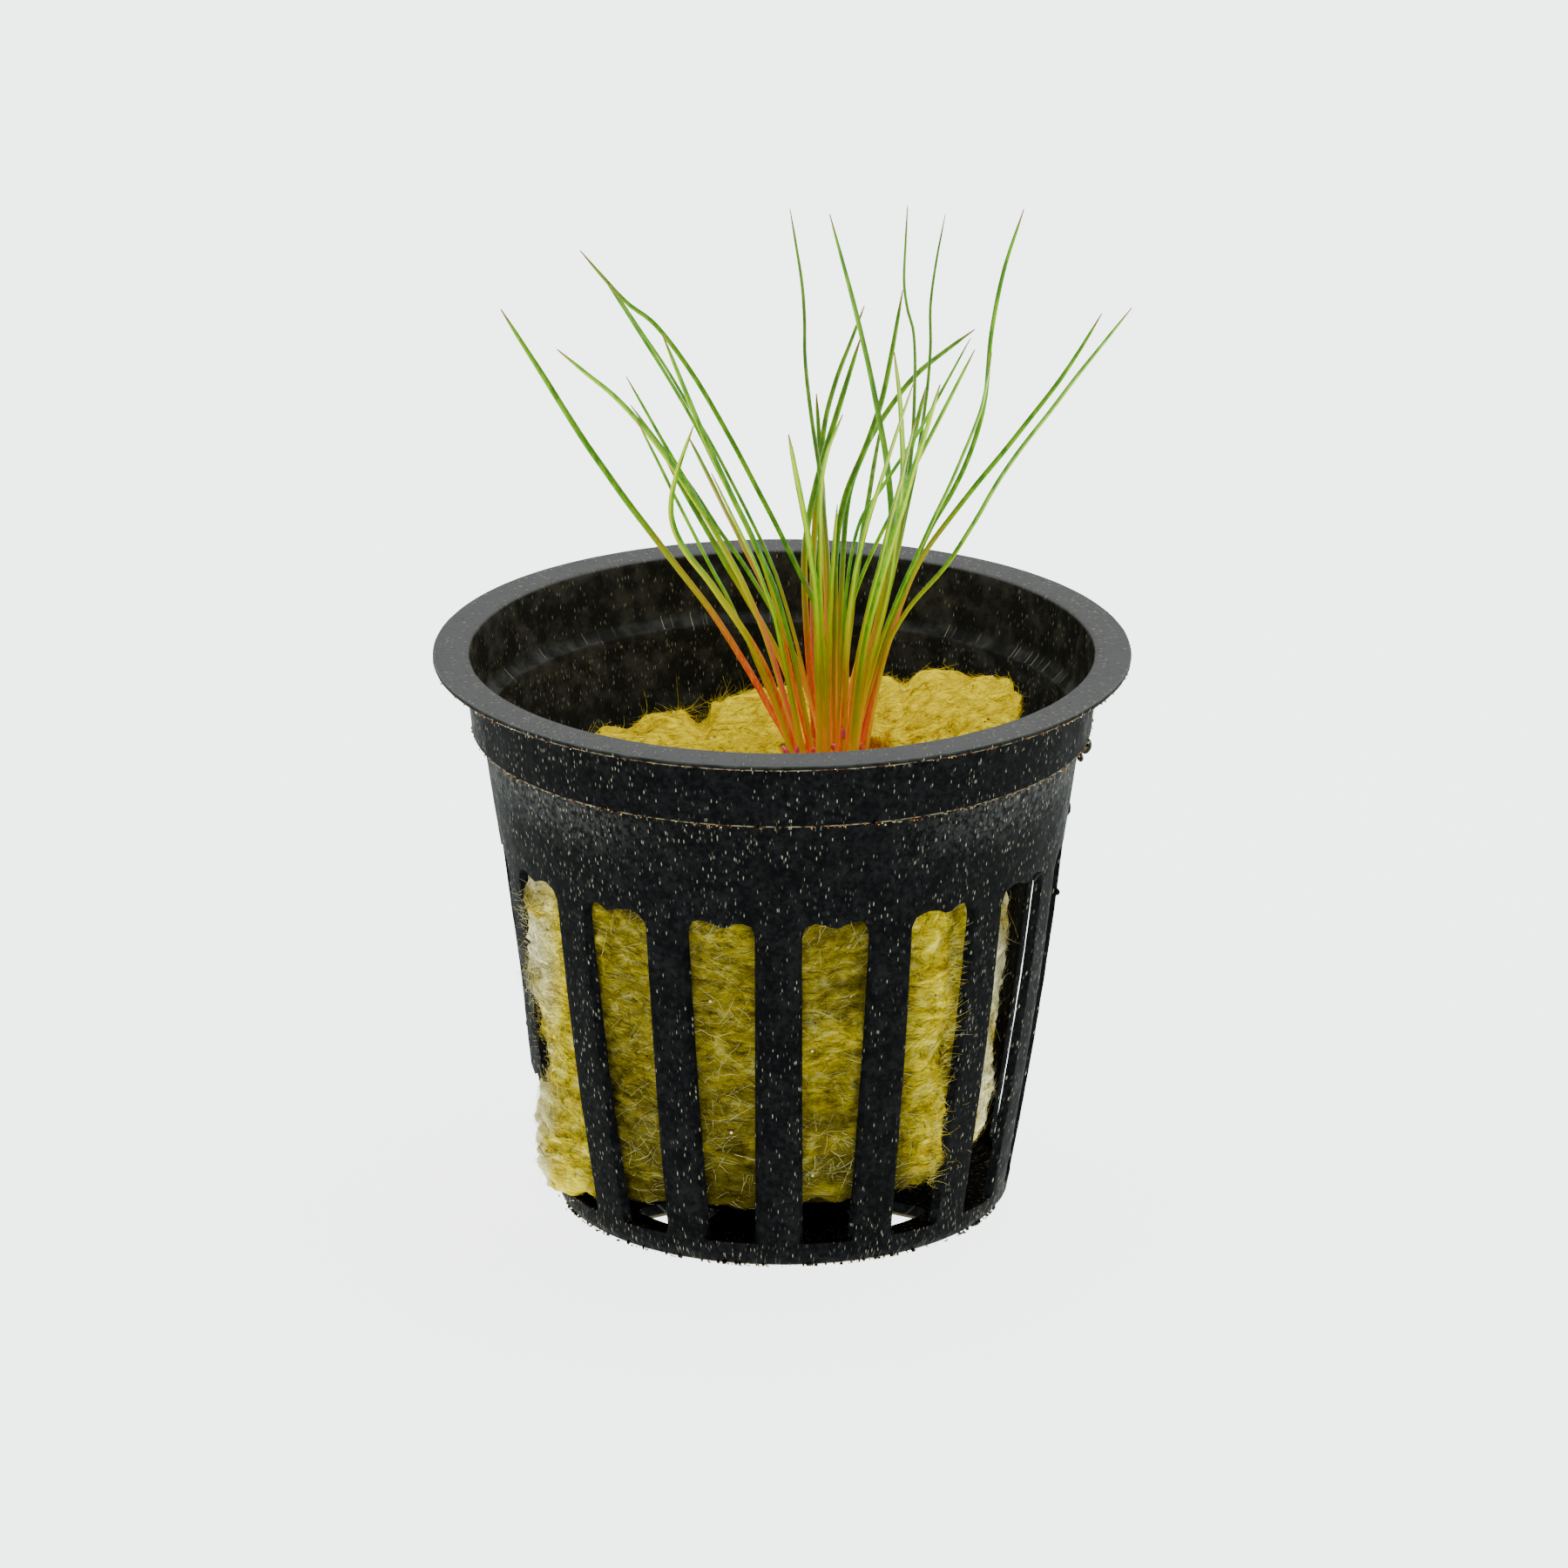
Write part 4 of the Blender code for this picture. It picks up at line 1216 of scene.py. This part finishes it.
def make_wool_strands(body):
    random = np.random.default_rng(41)
    faces = [tuple(face.vertices) for face in body.data.polygons]
    felt = BVHTree.FromPolygons(read_points(body.data).tolist(), faces)
    start, normal = scattered(body.data, SIDE_STRANDS, random, side_wanted)
    lines = held_in(strand_lines(felt, start, normal, random, SIDE_LENGTHS), STRAND_ROOM, loose=True)
    radii = random.uniform(*SIDE_RADII, SIDE_STRANDS)
    tones = random.random(SIDE_STRANDS)
    for place in range(SIDE_PIECES):
        part = slice(place, None, SIDE_PIECES)
        mesh = strand_mesh(f"wool_strands_side_{place + 1}", lines[part], radii[part], tones[part])
        add_piece(mesh.name, mesh, WOOL_STRAND, "wool_fibre")
    start, normal = scattered(body.data, TOP_STRANDS, random, top_wanted)
    lines = held_in(strand_lines(felt, start, normal, random, TOP_LENGTHS), STRAND_ROOM, loose=True)
    radii = random.uniform(*TOP_RADII, TOP_STRANDS)
    mesh = strand_mesh("wool_strands_top", lines, radii, random.random(TOP_STRANDS))
    add_piece("wool_strands_top", mesh, WOOL_STRAND, "wool_fibre")
    make_fringes(felt)


def make_fringes(felt):
    """Loose fibres that stand out over the ribs at both sides, and along the back edge of the top."""
    random = np.random.default_rng(53)
    lines = []
    for count, angle, spread, low, high, sideways, longest in FRINGES:
        turn = angle + random.normal(0.0, spread, count)
        height = random.uniform(low, high, count)
        start = around(wall_radius(height) + 0.03, turn, height)
        if low > SIDE_TOP:
            start = np.array([felt.find_nearest(point)[0] for point in start])
        out = unit(start * (1.0, 1.0, 0.0))
        side = np.stack([-out[:, 1], out[:, 0], 0.0 * height], axis=1) * sideways
        heading = unit(out * 0.3 + side + random.normal(0.0, 0.4, (count, 3)))
        length = longest * random.uniform(0.3, 1.0, count) ** 1.5
        curl = random.normal(0.0, 0.3, (count, 3)) + (0.0, 0.0, 0.25)
        steps = np.linspace(0.0, 1.0, STRAND_STEPS + 1)[None, :, None]
        course = heading[:, None] * steps + curl[:, None] * steps**2
        lines.append(start[:, None] + course * length[:, None, None])
    lines = np.concatenate(lines)
    radii = random.uniform(0.009, 0.018, len(lines))
    mesh = strand_mesh("wool_fringes", lines, radii, random.uniform(0.6, 1.0, len(lines)))
    add_piece("wool_fringes", mesh, WOOL_STRAND, "wool_fibre")


def make_specks(body):
    """Beads of shot and dark crumbs of peat that lie in the felt."""
    random = np.random.default_rng(23)
    for name, count, size, finish in (
        ("shot_beads", SHOT_BEADS, SHOT_SIZE, WOOL_SHOT),
        ("peat_crumbs", PEAT_CRUMBS, PEAT_SIZE, DIRT),
    ):
        start, normal = scattered(body.data, count, random, lambda points: top_wanted(points) + 0.25)
        sizes = random.uniform(0.4, 1.0, (count, 1)) * size * np.ones((1, 3))
        mesh = grains(name, start + normal * 0.05, sizes, 2, 6.0)
        if finish is DIRT:
            give(mesh, "tone", np.full(len(mesh.vertices), 0.1))
        add_piece(name, mesh, finish, "wool_fibre")


# Leaves and crown

LEAF_RINGS = 72
LEAF_SIDES = 10
LEAF_FOOT_DEPTH = 1.0
LEAF_SHIVER = 0.09
LEAF_GROOVE = 0.45
LEAF_STOUT = (0.86, 1.1)
RING_GAP = 1.0
CURVE_STEPS = 16


def centre_line(item):
    """A CAD leaf's middle line: its rings of points lie one above the other, well apart."""
    points = read_points(item.data)
    points = points[np.argsort(points[:, 2])]
    breaks = np.nonzero(np.diff(points[:, 2]) > RING_GAP)[0] + 1
    return np.array([ring.mean(axis=0) for ring in np.split(points, breaks)])


def smooth_line(points, count):
    """Evenly spaced points on the smooth curve through the given ones."""
    ends = np.concatenate([2 * points[:1] - points[1:2], points, 2 * points[-1:] - points[-2:-1]])
    fine = []
    for p0, p1, p2, p3 in zip(ends, ends[1:], ends[2:], ends[3:]):
        for t in np.linspace(0.0, 1.0, CURVE_STEPS, endpoint=False):
            bend = (2 * p0 - 5 * p1 + 4 * p2 - p3) * t**2 + (3 * p1 - p0 - 3 * p2 + p3) * t**3
            fine.append(0.5 * (2 * p1 + (p2 - p0) * t + bend))
    fine = np.array(fine + [points[-1]])
    run = np.concatenate([[0.0], np.cumsum(np.linalg.norm(np.diff(fine, axis=0), axis=1))])
    places = np.linspace(0.0, run[-1], count)
    return np.stack([np.interp(places, run, fine[:, axis]) for axis in range(3)], axis=1)


def shivered(line, share, number):
    """A blade's middle line with the small bends that a live leaf has, none at its two ends."""
    places = np.stack([share * 9.0, 0 * share + number, 0 * share], axis=1)
    shiver = np.stack([waves(places, 1.0, seed) for seed in (1.0, 4.0, 8.0)], axis=1)
    return line + shiver * LEAF_SHIVER * (share * (1.0 - share) * 4.0)[:, None]


def make_leaf(item, number, random):
    """A blade over a CAD leaf, flatter than it is wide, grooved along one face and a little twisted."""
    line = centre_line(item)
    foot = line[0] - (0.0, 0.0, LEAF_FOOT_DEPTH)
    line = smooth_line(np.concatenate([[foot], line]), LEAF_RINGS)
    share = np.linspace(0.0, 1.0, LEAF_RINGS)
    line = shivered(line, share, number)
    tangent = unit(np.gradient(line, axis=0))
    out = unit((line[-1] - line[0]) * (1.0, 1.0, 0.0))
    out = unit(out - tangent * (tangent @ out)[:, None])
    across = np.cross(tangent, out)
    twist = random.uniform(-0.5, 0.5) + share * random.uniform(-1.6, 1.6)
    flat = across * np.cos(twist)[:, None] + out * np.sin(twist)[:, None]
    thick = np.cross(flat, tangent)
    places, halves, depths = zip(*LEAF_SECTION)
    stout = random.uniform(*LEAF_STOUT)
    half = np.interp(share, places, halves) * stout
    depth = np.interp(share, places, depths) * stout
    rings, under = [], []
    for side in range(LEAF_SIDES):
        turn = 2 * math.pi * side / LEAF_SIDES
        groove = LEAF_GROOVE * max(0.0, math.sin(turn)) ** 3
        wide, deep = half * math.cos(turn), depth * (math.sin(turn) - groove)
        reach = flat * wide[:, None] + thick * deep[:, None]
        rings.append(line + reach)
        under.append(np.sum(unit(reach) * out, axis=1))
    points = np.stack(rings, axis=1).reshape(-1, 3)
    index = np.arange(LEAF_RINGS * LEAF_SIDES).reshape(LEAF_RINGS, LEAF_SIDES)
    low, high = index[:-1], index[1:]
    walls = np.stack([low, np.roll(low, -1, axis=1), np.roll(high, -1, axis=1), high], axis=-1)
    faces = walls.reshape(-1, 4).tolist() + [index[0, ::-1].tolist(), index[-1].tolist()]
    mesh = mesh_of(f"leaf_blade_{number:02d}", points, faces)
    give(mesh, "along", np.repeat(share, LEAF_SIDES))
    give(mesh, "under", np.stack(under, axis=1).ravel())
    give(mesh, "tone", np.full(LEAF_RINGS * LEAF_SIDES, random.random()))
    return add_piece(mesh.name, mesh, LEAF_GREEN, "leaf_green", item.name)


def make_leaves():
    random = np.random.default_rng(7)
    leaves = sorted(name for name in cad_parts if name.startswith("leaf_"))
    for number, name in enumerate(leaves, start=1):
        make_leaf(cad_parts[name], number, random)


CROWN_SHEATHS = 60
SHEATH_RINGS = 9
SHEATH_SIDES = 8
SHEATH_HEIGHTS = (1.5, 3.4)
SHEATH_RADII = (0.40, 0.62)
SHEATH_LEAN = 0.9
GOLDEN_ANGLE = 137.5
CROWN_SPREAD = 0.86


def make_crown():
    """Short young sheaths, packed side by side over the whole crown."""
    low, high = (np.array(corner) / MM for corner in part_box("crown"))
    middle, reach = (low + high) / 2, (high - low) / 2
    random = np.random.default_rng(19)
    share = np.sqrt((np.arange(CROWN_SHEATHS) + 0.5) / CROWN_SHEATHS)
    turn = np.arange(CROWN_SHEATHS) * math.radians(GOLDEN_ANGLE)
    lean = np.stack([np.sin(turn), np.cos(turn), 0 * turn], axis=1) * share[:, None]
    foot = middle + lean * reach * CROWN_SPREAD
    foot[:, 2] = low[2] + 0.1
    tall = random.uniform(*SHEATH_HEIGHTS, CROWN_SHEATHS)
    t = np.linspace(0.0, 1.0, SHEATH_RINGS)
    rise = np.array([0.0, 0.0, 1.0]) * (tall[:, None] * t)[..., None]
    spread = lean[:, None] * (t**2 * SHEATH_LEAN)[None, :, None]
    radii = random.uniform(*SHEATH_RADII, CROWN_SHEATHS)
    points, faces, each = tubes(foot[:, None] + rise + spread, radii, SHEATH_SIDES)
    mesh = mesh_of("crown_sheaths", points, faces)
    give(mesh, "tone", np.repeat(random.random(CROWN_SHEATHS), each))
    return add_piece("crown_sheaths", mesh, CROWN_TISSUE, "crown_tissue", "crown")


# Buds: where each stands, half its width and half its height
BUDS = (
    (4.82, -7.45, 40.95, 0.15, 0.52),
    (3.98, -6.2, 39.45, 0.18, 0.26),
    (2.47, -5.2, 38.75, 0.16, 0.30),
    (1.17, -6.9, 39.35, 0.18, 0.34),
)


def make_buds():
    """Magenta buds that sit between the leaf sheaths."""
    places = [bud[:3] for bud in BUDS]
    sizes = [(wide, wide, tall) for *_, wide, tall in BUDS]
    mesh = grains("young_buds", places, sizes, 3, 2.0)
    give(mesh, "tone", np.ones(len(mesh.vertices)))
    add_piece("young_buds", mesh, CROWN_TISSUE, "crown_tissue")


# Stage

FLOOR_RADIUS = 2500.0
FLOOR_SEGMENTS = 64
SKY_STRENGTH = 0.45
CLIP_NEAR = 0.01
CLIP_FAR = 20.0

# Softboxes: name, where each hangs, what it is aimed at, how wide and how strong it is
SOFTBOXES = (
    ("top_softbox", (60, 120, 620), (0, 0, 40), 420, 5.0),
    ("left_softbox", (-520, -60, 260), (0, 0, 30), 320, 1.0),
    ("right_softbox", (520, -60, 260), (0, 0, 30), 320, 0.8),
)


def make_floor():
    disc = bmesh.new()
    bmesh.ops.create_circle(disc, cap_ends=True, radius=FLOOR_RADIUS * MM, segments=FLOOR_SEGMENTS)
    mesh = bpy.data.meshes.new("studio_floor")
    disc.to_mesh(mesh)
    disc.free()
    mesh.materials.append(floor_paint())
    floor = bpy.data.objects.new("studio_floor", mesh)
    bpy.context.scene.collection.objects.link(floor)


def add_softbox(name, place, aim, size, power):
    light = bpy.data.lights.new(name, "AREA")
    light.shape = "DISK"
    light.size = size * MM
    light.energy = power
    lamp = bpy.data.objects.new(name, light)
    lamp.location = Vector(place) * MM
    lamp.rotation_euler = (Vector(aim) - Vector(place)).to_track_quat("-Z", "Y").to_euler()
    bpy.context.scene.collection.objects.link(lamp)


def make_light():
    world = bpy.data.worlds.new("studio_light")
    world.use_nodes = True
    sky = world.node_tree.nodes["Background"]
    sky.inputs["Color"].default_value = (*srgb(*STUDIO_MINT), 1.0)
    sky.inputs["Strength"].default_value = SKY_STRENGTH
    bpy.context.scene.world = world
    for softbox in SOFTBOXES:
        add_softbox(*softbox)


def make_camera():
    data = bpy.data.cameras.new("studio_camera")
    data.sensor_width = CAMERA_SENSOR
    data.lens = CAMERA_LENS
    data.clip_start = CLIP_NEAR
    data.clip_end = CLIP_FAR
    camera = bpy.data.objects.new("studio_camera", data)
    bpy.context.scene.collection.objects.link(camera)
    distance = FRAME_WIDTH * CAMERA_LENS / CAMERA_SENSOR
    tilt = math.radians(CAMERA_ELEVATION)
    away = Vector((0.0, -math.cos(tilt), math.sin(tilt))) * distance
    camera.location = (Vector(CAMERA_AIM) + away) * MM
    camera.rotation_euler = (-away).to_track_quat("-Z", "Y").to_euler()
    bpy.context.scene.camera = camera


POT_PLASTIC = pot_plastic()
WOOL_FIBRE = wool_fibre()
WOOL_STRAND = wool_strand()
WOOL_SHOT = wool_shot()
DIRT = dirt()
LEAF_GREEN = leaf_green()
CROWN_TISSUE = crown_tissue()

make_camera()
make_light()
make_floor()
make_net_pot()
make_burrs()
make_dirt()
WOOL_BODY = make_wool_body()
make_wool_strands(WOOL_BODY)
make_specks(WOOL_BODY)
make_crown()
make_buds()
make_leaves()
